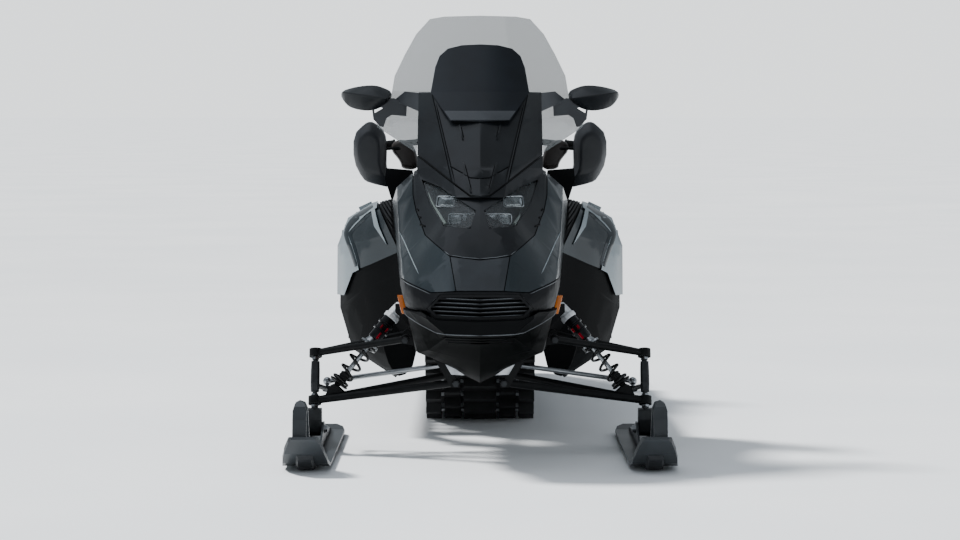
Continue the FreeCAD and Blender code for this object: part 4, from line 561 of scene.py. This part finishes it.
collar = [(collar_at - 1, 14), (collar_at, 31), (collar_at + 6, 32), (collar_at + 9, 24), (neck_at, 17.5)]
piece("shock_rods", [on_shock([(6, 8), (collar_at, 8)], 24), on_shock(collar)], "chrome_steel")
fold = np.arange(9)
bellows = [(24, 12), *zip(27 + fold * 4.2, 15 + 2.2 * (fold % 2)), (64, 9)]
piece("bump_stops", on_shock(bellows, 28), "rubber")
body_rings = [(neck_at - 4, 17), (neck_at, 20), (neck_at + 3, 22)]
for low in (neck_at + body_long * 0.3, neck_at + body_long * 0.55):
    body_rings += [(low, 22), (low + 1, 27), (low + 7, 27), (low + 8, 22)]
body_rings += [(body_end - 18, 22), (body_end - 16, 19)]
piece("shock_bodies", on_shock(body_rings), "shock_black", stands_for=["shock_absorbers"])
cap = [(body_end - 17, 24.5), (body_end - 15, 25.8), (body_end - 2, 25.8), (body_end + 1, 21.5),
       (shock_long - 6, 19.5), (shock_long + 8, 17.5), (shock_long + 12, 12)]
piece("shock_caps", on_shock(cap, 10), "cast_cap", smooth=False)
eyes = [lathe([(-15, 12), (-14, 13), (14, 13), (15, 12)], shock_low, (0, 1, 0), 28),
        on_shock([(4, 10), (26, 10)], 20), on_shock([(20, 32), (21, 33), (25, 33), (26, 30)])]
piece("shock_eyes", eyes, "frame_metal")
front = unit(np.cross(shock_axis, (0, 0, 1)))
front = front if front[1] < 0 else -front
accents = []
for turn_share, low_share, high_share in ((0, 0.02, 0.26), (0.55, 0.34, 0.5), (-0.5, 0.36, 0.52)):
    outward = unit(front + turn_share * np.cross(shock_axis, front))
    spot = shock_low + shock_axis * (neck_at + body_long * low_share) + outward * 21.5
    long = body_long * (high_share - low_share)
    accents.append(lathe([(0, 2.4), (1.5, 4.2), (long, 4.2), (long + 1.5, 2.4)], spot, shock_axis, 12))
piece("shock_accents", accents, "red_anodised")


def coil(start, end, radius, wire, turns):
    """A spring round the shock absorber: it turns evenly and climbs evenly, but for a flat tenth at each end."""
    steps_a_turn, flat = 26, 0.1
    t = np.linspace(0, 1, int(turns * steps_a_turn) + 1)
    climb = np.clip((t - flat) / (1 - 2 * flat), 0, 1)
    side_a = unit(np.cross(shock_axis, (0, 1, 0)))
    side_b = np.cross(shock_axis, side_a)
    angle = 2 * np.pi * turns * t
    path = shock_low + shock_axis * (start + (end - start) * climb)[:, None]
    path = path + radius * (np.cos(angle)[:, None] * side_a + np.sin(angle)[:, None] * side_b)
    return tube(path, wire, 10, shock_axis)


piece("coil_springs", coil(31.5, collar_at - 6, 27, 4.6, 4.3), "spring_steel", stands_for=["springs"])

# On each side: plated nuts on the ball studs, the heads of the ski bolt, and the keel's nose under the ski's tip.
king = unit((0, 60, 148))
for sign, side in ((1, "left"), (-1, "right")):
    low_ball, up_ball, bolt = ((sign * 533, y, z) for y, z in ((-1010, 167), (-950, 315), (-1005, 74)))
    nuts = [lathe([(13.5, 12), (14, 13), (21, 13), (22, 11)], low_ball, king, 6)]
    nuts += [lathe([(-24, 11), (-23, 13), (-15, 13), (-14, 12)], ball, king, 6) for ball in (low_ball, up_ball)]
    piece("ball_joint_nuts_" + side, nuts, "chrome_steel", "spindle_" + side, both=False, smooth=False)
    heads = [lathe([(30, 15), (35, 15), (36, 11.5), (41, 11.5), (42, 9)], bolt, (s, 0, 0), 6) for s in (1, -1)]
    piece("ski_bolts_" + side, heads, "chrome_steel", "ski_" + side, both=False, smooth=False)
    # The keel runs up under the tip. Columns: y, low edge, top edge, half width.
    keel = np.array([[(x, y, z) for x, z in ((-half, top), (-half + 6, low), (half - 6, low), (half, top))]
                     for y, low, top, half in ((-1395, 0.6, 15, 31), (-1450, 4, 20, 31), (-1490, 15, 34, 29),
                                               (-1524, 37, 58, 26), (-1528, 44, 60, 24))], float)
    piece("keel_nose_" + side, rings(keel + (sign * 533, 0, 0)), "keel_grey", "ski_" + side,
          both=False, smooth=False)

# Folded aluminium gussets under the belly, ahead of the lower arms' pivots, and the pivots' bolts.
gusset = [(118, 314), (47, 266), (90, 268), (108, 298)]
piece("arm_gussets", rings(level_rings(gusset, (90, 285), ((-1189, 0.96), (-1187.6, 1), (-1184.6, 1)))),
      "bare_aluminium", smooth=False)
pivot_bolts = [lathe([(0, 11), (1, 12), (8, 12), (9, 10)], (x, y, z), (0, away, 0), 6)
               for x, y, z, away in ((76, -1184.5, 240, -1), (238, -1114.5, 372, -1), (238, -845.5, 372, 1),
                                     (76, -835.5, 240, 1))]
piece("pivot_bolts", pivot_bolts, "dark_bolt", smooth=False)

# Headlamps: dark trays, a light guide down the outer edge of each, and framed lenses on the lamp blocks.
cover_tree = node_tree("headlamp_covers")


def rounded_box(half_wide, half_high, corner):
    """A rectangle with round corners as a closed line: a quarter circle at each corner."""
    quarter = np.linspace(0, np.pi / 2, 8)
    line = []
    for k, (sx, sz) in enumerate(((1, 1), (-1, 1), (-1, -1), (1, -1))):
        turn = quarter + k * np.pi / 2
        line.append(np.column_stack([sx * (half_wide - corner) + corner * np.cos(turn),
                                     sz * (half_high - corner) + corner * np.sin(turn)]))
    return np.concatenate(line)


def closed_tube(path, radius, sides=10):
    """A round profile carried round a closed path that lies near one plane."""
    tangent = unit(np.roll(path, -1, axis=0) - np.roll(path, 1, axis=0))
    middle = path.mean(axis=0)
    plane = unit(np.cross(path[0] - middle, path[len(path) // 4] - middle))
    across = np.cross(tangent, plane)
    cos, sin = circle(sides)
    ring = cos[None, :, None] * across[:, None] + sin[None, :, None] * plane
    points = path[:, None] + radius * ring
    return points.reshape(-1, 3), lattice(len(path), sides, True, True).tolist()


def on_plane(outline, middle, normal):
    """A flat outline laid on the plane through a middle, square to a normal, with its first axis level."""
    across = unit(np.cross(normal, (0, 0, 1)))
    across = across if across[0] > 0 else -across
    up = np.cross(across, normal)
    up = up if up[2] > 0 else -up
    return middle + outline[:, :1] * across + outline[:, 1:2] * up


def lens_form(outline, middle, normal, dome, shares=(1, 0.92, 0.75, 0.5, 0.25, 0.02)):
    """A domed lens: the outline shrunk to its middle in steps, and lifted by dome (1 - share squared)."""
    return rings([on_plane(outline * s, middle + normal * dome * (1 - s * s), normal) for s in shares])


# Columns: middle x and z, half width and height, corner radius, cells across.
frames, lenses, sockets = [], [], []
for x, z, half_wide, half_high, corner, cells in ((103, 816, 38, 19, 8, 1), (56, 764, 45, 19, 9, 2)):
    middle, normal = from_front(cover_tree, x, z)
    # The lamp stands behind its cover and looks more straight ahead than the cover does.
    middle, normal = middle + (0, 19, 0), unit(normal + (0, -0.9, 0))
    outline = rounded_box(half_wide - 4, half_high - 2, corner - 2)
    frames.append(closed_tube(on_plane(outline, middle + normal * 1.5, normal), 2.4))
    sockets.append(lens_form(outline, middle - normal * 1, normal, -1, (1, 0.5, 0.02)))
    cell_half = (half_wide - 8) / cells - (1 if cells > 1 else 0)
    cell = rounded_box(cell_half, half_high - 5, 5)
    for k in range(cells):
        shift = (k - (cells - 1) / 2) * (2 * cell_half + 3)
        seat = on_plane(np.array([(shift, 0)]), middle, normal)[0]
        lenses.append(lens_form(cell, seat + normal * 1, normal, 3.5))
piece("lamp_frames", frames, "lamp_reflector", stands_for=["headlamp_units"])
piece("lamp_lenses", lenses, "lamp_lens")
piece("lamp_sockets", sockets, "screen_glass")
TRAY = [(8, 788), (56, 822), (122, 864), (190, 888), (166, 812), (114, 738), (26, 732)]
tray_rows = []
for share, deep in ((1, 8), (0.93, 38), (0.6, 39), (0.3, 39), (0.03, 39), (0.03, 41), (0.95, 41), (1, 12)):
    line = (98, 800) + (corner_cut(TRAY, 2) - (98, 800)) * share
    tray_rows.append(laid_on(shell_form, line, shift=(0, deep, 0)))
piece("lamp_trays", rings(tray_rows), "lamp_tray")
GUIDE = [(175, 874), (165, 850), (151, 814), (129, 780), (106, 748)]
guide_path = laid_on(cover_tree, resampled(GUIDE, 6), shift=(0, 12, 0))
guide = tube(guide_path, np.linspace(3, 5.5, len(guide_path)), 12, (0, 1, 0))
piece("light_guides", guide, "light_guide")

# A dark mesh plate behind the grille's bars, swept back with the nose.
NOSE_SWEEP = 0.28
grille_back = ((-120, 538), (120, 538), (158, 502), (130, 474), (-130, 474), (-158, 502))
mesh_rows = [[(x, y + abs(x) * NOSE_SWEEP, z) for x, z in grille_back] for y in (-1438, -1436)]
piece("grille_mesh", rings(mesh_rows), "belly_black", both=False, smooth=False)

# Mirrors: a drop-shaped head whose front rises to a ridge along its upper third, and the glass at the rear.
HEAD = [(464, 1161), (440, 1118), (409, 1104), (362, 1098), (320, 1112), (291, 1138), (291, 1162), (310, 1173),
        (346, 1185), (409, 1179)]
RIDGE = np.array([(450, 1161), (302, 1140)])
head_outline = corner_cut(HEAD, 2)
ridge_long = RIDGE[1] - RIDGE[0]
along_ridge = np.clip((head_outline - RIDGE[0]) @ ridge_long / (ridge_long @ ridge_long), 0, 1)
ridge_foot = RIDGE[0] + along_ridge[:, None] * ridge_long
HEAD_ROWS = ((-850, 0.03), (-848, 0.1), (-812, 0.93), (-805, 1), (-770, 1), (-767, 0.97))
piece("mirror_shells", rings(level_rings(head_outline, ridge_foot, HEAD_ROWS)), "hood_gloss",
      stands_for=["mirror_heads"], sharp=24)
glass = rings(level_rings(head_outline, (375, 1145), ((-768.5, 0.9), (-765.5, 0.9))))
piece("mirror_glasses", glass, "mirror_glass")

# Hand guards: a smooth shell with a flat face and broad rounded edges, open to the rear, on a stay.
GUARD = [(374, 1064), (393, 1056), (431, 1018), (431, 928), (400, 868), (378, 854), (298, 836), (320, 896),
         (318, 978), (324, 1026), (352, 1054)]
GUARD_ROWS = [(-541, 0.5), (-540, 0.64), (-537, 0.7), (-512, 0.95), (-505, 0.99), (-496, 1), (-440, 1)]
# The inner skin is a little smaller, and 4 mm further back except at the open rim.
inner_rows = [(y + 4 * (y < -450), share - 0.06) for y, share in GUARD_ROWS]
guard_outer, guard_inner = (level_rings(corner_cut(GUARD, 1), (380, 962), rows) for rows in (GUARD_ROWS, inner_rows))
piece("guard_shells", rings(np.concatenate([guard_outer, guard_inner[::-1]])), "guard_grey", "steering",
      ["hand_guards"], sharp=50)
STAY = [(414, -386.5, 970), (416, -420, 969), (420, -460, 968), (427, -474, 968)]
piece("guard_stays", tube(resampled(STAY, 8), 6.5, 14), "frame_metal", "steering")

# Grips: ribbed rubber sleeves with a flange inboard and a plug at the end.
bar_a, bar_b = np.array((235, -404, 990)), np.array((408, -386, 970))
bar_dir = unit(bar_b - bar_a)
GRIP_INNER_X, GRIP_OUTER_X, RIB_PITCH = 292, 412, 5.2
grip_start = bar_a + bar_dir * ((GRIP_INNER_X - bar_a[0]) / bar_dir[0])
grip_long = (GRIP_OUTER_X - GRIP_INNER_X) / bar_dir[0]
at = np.linspace(6, grip_long - 6, 73)
ribs = 16.2 + 0.8 * (np.sin(at * 2 * np.pi / RIB_PITCH) > 0)
grip_profile = [(0, 11.5), (0, 19), (3, 20), (5, 16.5), *zip(at, ribs), (grip_long - 2, 17), (grip_long, 14),
                (grip_long, 11.5)]
piece("grip_sleeves", lathe(grip_profile, grip_start, bar_dir, 40), "rubber", body="steering", stands_for=["grips"])

# Control housings: a rounded lobe inboard of each grip, a lever with a ball end, and push buttons.
BLOCK = [(208, 898), (218, 960), (243, 996), (284, 1001), (305, 984), (301, 958), (288, 944), (272, 922), (268, 899)]
BLOCK_ROWS = [(-456, 0.66), (-455, 0.78), (-450, 0.9), (-442, 0.97), (-430, 1), (-384, 1), (-376, 0.96),
              (-372, 0.86)]
LEVER = [(262, -440, 968), (280, -454, 971), (292, -462, 972), (330, -461, 969), (392, -452, 962)]
lever_path = resampled(corner_cut(LEVER, 2, closed=False), 4)
lever_thick = np.interp(lever_path[:, 0], (262, 300, 380, 386, 392), (7.5, 5.4, 4.8, 6.4, 4))
buttons = [lathe([(-2, 7), (3, 7), (4.2, 5.5)], (x, -373, z), (0, 1, 0), 24)
           for x, z in ((243, 972), (262, 972), (243, 948), (250, 925))]
housings = rings(level_rings(corner_cut(BLOCK, 2), (248, 955), BLOCK_ROWS))
piece("control_housings", housings, "control_brown", "steering", ["controls"], sharp=50)
piece("levers", tube(lever_path, lever_thick, 14), "frame_metal", "steering")
piece("control_buttons", buttons, "trim_black", body="steering")

# Instrument: a bezel, and two dials of rings, ticks and needles, on the face that looks to the rider.
GAUGE_FACE = np.array([(-84, 1064), (84, 1064), (92, 1004), (-92, 1004)])
bezel = closed_tube(level(corner_cut(GAUGE_FACE * (0.97, 1)), -741), 2.6)
piece("gauge_bezel", bezel, "trim_black", both=False)
dial_parts, dial_z = [], 1034
cos, sin = circle(64)
for middle_x in (-42, 42):
    for radius, thick in ((25, 1), (20.5, 0.4)):
        ring_path = level(np.column_stack([middle_x + radius * cos, dial_z + radius * sin]), -741.3)
        dial_parts.append(closed_tube(ring_path, thick, 8))
    for angle in np.radians(np.arange(-40, 221, 20)):
        ends = [(middle_x + r * math.cos(angle), -741.2, dial_z + r * math.sin(angle)) for r in (21, 24.2)]
        dial_parts.append(tube(np.linspace(*ends, 3), 0.5, 6, (0, 1, 0)))
    needle = np.linspace((middle_x, -740.6, dial_z), (middle_x - 15, -740.6, dial_z - 10), 4)
    dial_parts.append(tube(needle, np.linspace(1.1, 0.4, 4), 8, (0, 1, 0)))
    dial_parts.append(lathe([(0, 3), (1.6, 2.6), (2, 1.2)], (middle_x, -742, dial_z), (0, 1, 0), 20))
piece("gauge_dials", dial_parts, "lamp_reflector", both=False)

# Fuel cap on the console: rings of (height, radius), the lower ones knurled by 16 lobes.
cap_axis = unit((0, -0.42, 1))
angle = np.linspace(0, 2 * np.pi, 96, endpoint=False)[:, None]
cap_ring = np.cos(angle) * np.array((1, 0, 0)) + np.sin(angle) * unit(np.cross(cap_axis, (1, 0, 0)))
lobes = 1 + 0.035 * np.cos(16 * angle)
cap_rows = [np.array((0, -322, 838)) + cap_axis * high + cap_ring * radius * (lobes if radius > 30 else 1)
            for high, radius in ((6, 34.5), (20, 34.5), (24, 32), (25.5, 27), (24, 20), (24, 1))]
piece("fuel_cap", rings(cap_rows), "trim_black", both=False)


CLOTH_STEPS, CLOTH_REACH = 20, 9


def swollen(name, node, voxel_mm, inset_mm, pinned, fill):
    """A stuffed piece: the CAD's form drawn in a little, remeshed, and blown up as cloth, with each move capped."""
    source = nodes[node].data.copy()
    cleaned(source, 2e-5, inset_mm)
    bag = placed(name + "_bag", source)
    assign(bag.modifiers.new("cells", "REMESH"), mode="VOXEL", voxel_size=voxel_mm * MM)
    assign(bag.modifiers.new("round", "SMOOTH"), factor=0.5, iterations=8)
    baked = bpy.data.meshes.new_from_object(bag.evaluated_get(bpy.context.evaluated_depsgraph_get()))
    bag.modifiers.clear()
    bag.data = baked
    rest = places = vertex_rows(baked)
    held = bag.vertex_groups.new(name="held")
    held.add([int(k) for k in np.nonzero(pinned(rest / MM))[0]], 1, "REPLACE")
    cloth = bag.modifiers.new("cloth", "CLOTH")
    assign(cloth.settings, use_pressure=True, uniform_pressure_force=4, vertex_group_mass="held")
    cloth.settings.effector_weights.gravity = 0
    for step in range(1, CLOTH_STEPS + 1):
        scene.frame_set(step)
    places = vertex_rows(bag.evaluated_get(bpy.context.evaluated_depsgraph_get()).to_mesh())
    scene.frame_set(1)
    move = places - rest
    length = np.maximum(np.linalg.norm(move, axis=1, keepdims=True), 1e-9)
    places = rest + move * np.minimum(1, CLOTH_REACH * MM / length)
    faces = [list(polygon.vertices) for polygon in baked.polygons]
    bpy.data.objects.remove(bag)
    made = piece(name, (places / MM, faces), "seat_vinyl", stands_for=[node], both=False, sharp=180)
    return made


def sewn(made, lines, depth_mm, width_mm):
    """Presses sewn channels into a piece: each point sinks by depth times exp(-(distance / width) squared)."""
    mesh = made.data
    place = vertex_rows(mesh) / MM
    sink = np.zeros(len(place))
    for line in lines:
        for a, b in zip(line, line[1:]):
            a, b = np.asarray(a, float), np.asarray(b, float)
            share = np.clip((place - a) @ (b - a) / ((b - a) @ (b - a)), 0, 1)
            far = np.linalg.norm(place - a - share[:, None] * (b - a), axis=1)
            sink = np.maximum(sink, np.exp(-(far / width_mm) ** 2))
    place = place - vertex_rows(mesh, "normal") * (depth_mm * sink)[:, None]
    mesh.vertices.foreach_set("co", (place * MM).ravel())
    mesh.update()


def piping(made, lines, radius):
    """Round piping laid on a piece's surface along lines given near it."""
    surface = look_up([mesh_surface(made.data)])
    tubes = []
    for line in lines:
        path = np.array([surface.find_nearest(Vector(p))[0] for p in resampled(line, 8)])
        path[1:-1] = (path[:-2] + path[1:-1] + path[2:]) / 3
        tubes.append(tube(path, radius, 10, (0.3, 0.2, 1)))
    return tubes


def both_sides(*lines):
    """Lines, each with its mirror image across the vehicle's middle."""
    return [[(sign * x, y, z) for x, y, z in line] for line in lines for sign in (1, -1)]


def channels(*rows):
    """Lines across the vehicle, each from a row of (half width, y, height at the sides, height in the middle)."""
    return [[(-x, y, low), (0, y, high), (x, y, low)] for x, y, low, high in rows]


# Seats: the rider's, the passenger's higher step, and the backrest pad. Columns: piece, node, cell size, inset, which
# points stay put, softness; then the piped edges, the channels across, their depth and width, the piping's radius.
SEATS = [
    ("rider_cushion", "rider_seat", 8, 5, lambda p: p[:, 2] < 575, 0.75,
     both_sides([(78, -235, 785), (112, -60, 778), (146, 180, 775), (154, 395, 790)],
                [(128, -240, 700), (160, -60, 690), (176, 180, 690), (181, 395, 690)]),
     channels((146, 60, 782, 789), (150, 250, 782, 790)), 4, 9, 2.6),
    ("passenger_cushion", "passenger_seat", 8, 5, lambda p: p[:, 2] < 575, 0.75,
     both_sides([(146, 425, 842), (154, 470, 852), (154, 820, 856), (142, 868, 846)],
                [(181, 425, 720), (181, 820, 720), (173, 868, 715)]),
     channels((150, 560, 858, 864), (150, 700, 858, 865)), 4, 9, 2.6),
    ("backrest_cushion", "backrest", 5, 3, lambda p: p[:, 1] > 897, 0.7,
     [[(-124, 866, 1105), (-112, 866, 1112), (0, 866, 1120), (112, 866, 1112), (124, 866, 1105), (130, 866, 970),
       (92, 866, 940), (0, 866, 934), (-92, 866, 940), (-130, 866, 970), (-124, 866, 1105)]],
     [[(-120, 866, 1040), (120, 866, 1040)]], 3, 7, 2.2),
]
cushions = [swollen(*row[:6]) for row in SEATS]
for made, (edges, across, depth_mm, width_mm, _) in zip(cushions, (row[6:] for row in SEATS)):
    sewn(made, edges + across, depth_mm, width_mm)
seat_piping = [part for made, row in zip(cushions, SEATS) for part in piping(made, row[6], row[10])]
piece("seat_piping", seat_piping, "piping_vinyl", both=False)
for made in cushions:
    assign(made.modifiers.new("smooth", "SUBSURF"), levels=1, render_levels=1)

# Tail lamp: a black base and a red lens, whose rear face is fluted in waves 12 mm wide.
BASE_LINE = [(-205, 441), (205, 441), (206, 544), (-206, 544)]
piece("lamp_base", rings(level_rings(BASE_LINE, (0, 492), ((1330.4, 1), (1334, 1), (1336, 0.985)))), "trim_black",
      stands_for=["tail_lamp"], both=False, smooth=False)
LENS_LINE = corner_cut([(-110, 474), (110, 474), (120, 500), (102, 528), (-102, 528), (-120, 500)], 2)
lens_rows = level_rings(LENS_LINE, (0, 500), ((1335, 1), (1350, 1), (1358, 0.97), (1363, 0.88), (1364, 0.5),
                                              (1364, 0.04)))
lens_rows[:, :, 1] += np.where(lens_rows[:, :, 1] > 1355, 1.2 * np.cos(lens_rows[:, :, 0] * np.pi / 6), 0)
piece("tail_lens", rings(lens_rows), "red_lens", both=False, sharp=60)

# Snow flap: ribs down its rear face.
FLAP_LINE = [(1339, 466), (1392, 442), (1483, 331), (1557, 186), (1574, 126)]
flap_ribs = [tube(resampled([(x, y, z) for y, z in FLAP_LINE], 12), 4.5, 10, (1, 0, 0)) for x in range(-150, 151, 60)]
piece("flap_ribs", flap_ribs, "rubber", both=False)

# Rivets along the tunnel's top edges.
rivets = [lathe([(-0.5, 7), (1.5, 6.4), (3, 4), (3.6, 0.5)], (207, y, 528), (1, 0, 0), 16)
          for y in range(-440, 1320, 88)]
piece("tunnel_rivets", rivets, "dark_bolt")

# Hand loops on the grab rail: rubber sleeves along its side tubes.
sleeve = tube(resampled([(220.7, 640, 736.5), (219.1, 820, 725)], 10), 15.5, 20)
piece("grab_sleeves", sleeve, "rubber")


def belt_points(wheels, out, count, phase):
    """Places and ways round a belt at equal steps: runs between circles of (y, z, radius), and arcs round them."""
    line, turns = [], []
    for (ya, za, ra), (yb, zb, rb) in zip(wheels, wheels[1:] + wheels[:1]):
        turns.append(math.atan2(zb - za, yb - ya) - math.acos((ra - rb) / math.hypot(yb - ya, zb - za)))
    for k, (y, z, radius) in enumerate(wheels):
        sweep = (turns[k] - turns[k - 1]) % (2 * math.pi)
        angles = turns[k - 1] + np.linspace(0, sweep, 24)
        line += [(y + (radius + out) * math.cos(a), z + (radius + out) * math.sin(a)) for a in angles]
    line = np.array(line + line[:1])
    at = (np.arange(count) + phase) * run_along(line)[-1] / count
    spots = places_at(line, at)
    return spots, unit(places_at(line, at + 1) - spots)


# Track clips: bright steel guide clips between the lug columns, one a pitch on each side, 8 mm out from the wheels.
WHEELS = [(1060, 132, 92), (480, 322, 66), (-330, 332, 84), (-80, 230, 190)]
clips = []
for spot, ahead in zip(*belt_points(WHEELS, 8, 48, 0.82)):
    out = np.array((ahead[1], -ahead[0]))
    for x in (62.8, 131.2):
        section = [spot + ahead * along + out * lift for along, lift in ((-11, -1), (-9, 7), (9, 7), (11, -1))]
        clips.append(rings([[(x + half, *corner) for corner in section] for half in (-5, 5)]))
piece("track_clips", clips, "chrome_steel", smooth=False)


def bead(line, tree, radius, lift=0, step=6):
    """A fine round edge laid on a surface along a line of (x, z) places, with thinner ends."""
    path = laid_on(tree, resampled(line, step), lift)
    share = np.linspace(0, 1, len(path))
    return tube(path, radius * np.minimum(1, 0.25 + 6 * np.minimum(share, 1 - share)), 8, (0, 1, 0))


# Pale beads along creases and edges on the painted and the black panels: painted highlights where these catch the
# light.
crease = bead([(255, 716), (238, 690), (214, 645), (189, 600)], node_tree("side_panels"), 1.7)
piece("crease_highlights", crease, "panel_silver")
EDGES = [("nose_surround", [(239, 574), (196, 560), (152, 543)], 1.2),
         ("hood", [(172, 716), (134, 686), (94, 659)], 1.2), ("hood", [(90, 659), (50, 652), (0, 648)], 1.2),
         ("front_bumper", [(237, 471), (190, 449), (134, 425), (70, 421), (0, 419)], 1.6)]
piece("panel_edge_highlights", [bead(line, node_tree(name), radius) for name, line, radius in EDGES], "edge_grey")
# Pale beads on the grille's bars: painted highlights on their edges.
grille_tree = node_tree("grille")
bars = [bead([(0, z), (reach_x, z + reach_x * 8 / 170)], grille_tree, 1.1)
        for z, reach_x in ((526.5, 104), (513.5, 122), (500.5, 138), (487.5, 142), (474.5, 130))]
piece("grille_edge_highlights", bars, "edge_grey")
NOTCHES = [[(200, 791), (193, 784)], [(196, 768), (184, 763)], [(189, 744), (170, 738)]]
piece("panel_notches", [bead(line, shell_tree, 3.2, step=2) for line in NOTCHES], "belly_black")

# Dark beads in the seam lines on the windscreen fairing: painted shade in the seams' grooves.
tower_tree = node_tree("windscreen_fairing")
SEAM_SHADE_LINES = [([(87, 872), (154, 1150)], 2.1), ([(78, 872), (143, 1128)], 2.1), ([(94, 925), (53, 903)], 2.1),
         ([(53, 903), (31, 890), (0, 887)], 2.1), ([(200, 960), (187, 950), (31, 836), (0, 836)], 2.2),
         ([(48, 934), (26, 852)], 1.7), ([(61, 1052), (51, 1012)], 1.7)]
piece("tower_seam_shade", [bead(line, tower_tree, radius, -0.6) for line, radius in SEAM_SHADE_LINES], "belly_black")

# The deflector's lower lip is a paler band: a painted highlight, for the light that the lip catches.
deflector_tree, lip_highlight_rows = node_tree("deflector"), []
for z, reach_x, lift in ((1099, 114, 0.9), (1092, 110, 1.2), (1080, 101, 1.2), (1070, 93, 0.9), (1070, 93, -1),
                         (1099, 114, -1)):
    lip_highlight_rows.append(laid_on(deflector_tree, [(x, z) for x in np.linspace(-reach_x, reach_x, 31)], lift))
piece("deflector_lip_highlight", rings(np.transpose(lip_highlight_rows, (1, 0, 2))), "bracket_grey", both=False, sharp=60)

# The painted fender runs on over the upper half of the rim, up to its outer edge: a strip between two curves.
OUTER = [(360, 777), (405, 752), (440, 729), (459, 688), (456, 666), (442, 638), (429, 606), (417, 574)]
INNER = [(350, 768), (378, 740), (412, 708), (438, 682), (422, 652), (410, 614), (404, 594), (403, 582)]
curves = [resampled(corner_cut(line, 2, closed=False), 1) for line in (OUTER, INNER)]
outer_line, inner_line = (line[np.linspace(0, len(line) - 1, 44).astype(int)] for line in curves)
fender_tree, skin_rows = node_tree("fenders"), []
for share, lift in ((0, -1), (0, 6.6), (0.08, 7.4), (0.4, 7.4), (0.75, 4.2), (1, 0.8), (1, -1.5)):
    skin_rows.append([])
    for x, z in outer_line * (1 - share) + inner_line * share:
        # Beyond the fender's edge the nearest place inboard stands in.
        spot, normal = next(filter(None, (from_front(fender_tree, x - pull, z) for pull in range(0, 60, 4))))
        skin_rows[-1].append(spot + normal * lift)
piece("fender_edges", rings(np.transpose(skin_rows, (1, 0, 2))), "panel_teal", sharp=50)

# Three short silver blades stand out behind each fender's outer edge.
BLADES = [[(416, 770), (373, 790), (364, 776), (408, 752)], [(464, 708), (422, 755), (414, 744), (452, 700)],
          [(482, 612), (472, 692), (460, 686), (471, 573)]]
blades = [rings(level_rings(blade, np.mean(blade, axis=0), ((-463, 0.97), (-461, 1), (-443, 1), (-441, 0.97))))
          for blade in BLADES]
piece("rim_blades", blades, "panel_silver", smooth=False)

# Toe liners close the view between the belly pan and each flank panel.
LINER = [(214, 402), (300, 402), (330, 330), (300, 236), (262, 206), (212, 262)]
piece("toe_liners", rings(level_rings(corner_cut(LINER, 1), (262, 310), ((-702, 0.98), (-700, 1), (-696, 1)))),
      "belly_black", smooth=False)


# The camera stands where the photograph was taken from: about 8 m off, just above the handlebar, looking down.
PITCH_DOWN = 3.5
camera_data = assign(bpy.data.cameras.new("photo_camera"), sensor_width=36, lens=97.7, clip_end=2000)
scene.camera = assign(placed("photo_camera", camera_data), location=(0, -9.374, 1.1),
                      rotation_euler=(math.radians(90 - PITCH_DOWN), 0, 0))


def lamp(name, kind, power, place, target, **settings):
    """A lamp of a kind and power that shines from a place towards a target."""
    data = assign(bpy.data.lights.new(name, kind), energy=power, **settings)
    turn = (Vector(target) - Vector(place)).to_track_quat("-Z", "Y").to_euler()
    return assign(placed(name, data), location=place, rotation_euler=turn)


# A veiled sun from above, behind and the vehicle's right, and two large soft lights.
lamp("key", "SUN", 6.5, (0, 0, 0), (4.5, -3, -6), angle=math.radians(9)).visible_glossy = False
lamp("top_softbox", "AREA", 60, (-1.5, -1, 5), (0, -0.5, 0.6), size=4, color=linear("#eef4ff")[:3])
lamp("side_fill", "AREA", 40, (6, -1, 2.5), (0, 0, 0.6), size=3, color=linear("#f2f6ff")[:3])

# The camera sees a brighter sky than the one that lights the snowmobile.
world = bpy.data.worlds.new("studio")
world.use_nodes = True
tree = world.node_tree
sky = tree.nodes["Background"]
sky.inputs["Color"].default_value = linear("#dfe7ee")
sky.inputs["Strength"].default_value = 0.6
backdrop = add(tree, "Background", Color=linear("#eef2f4"), Strength=1.95)
shown = add(tree, "MixShader", Fac=add(tree, "LightPath").outputs["Is Camera Ray"])
tree.links.new(sky.outputs["Background"], shown.inputs[1])
tree.links.new(backdrop.outputs["Background"], shown.inputs[2])
tree.links.new(shown.outputs["Shader"], tree.nodes["World Output"].inputs["Surface"])
scene.world = world

# A matt pale floor, far wider than the view.
HALF = 400
floor_mesh = bpy.data.meshes.new("floor")
floor_mesh.from_pydata([(-HALF, -HALF, 0), (HALF, -HALF, 0), (HALF, HALF, 0), (-HALF, HALF, 0)], [], [(0, 1, 2, 3)])
material, tree, shader, place = new_material("pale_studio_floor", Roughness=0.85, Specular_IOR_Level=0.2)
tree.links.new(varied(tree, place, "#eceff1", "#f3f5f6", 1600)[0], shader.inputs["Base Color"])
floor_mesh.materials.append(material)
placed("floor", floor_mesh)
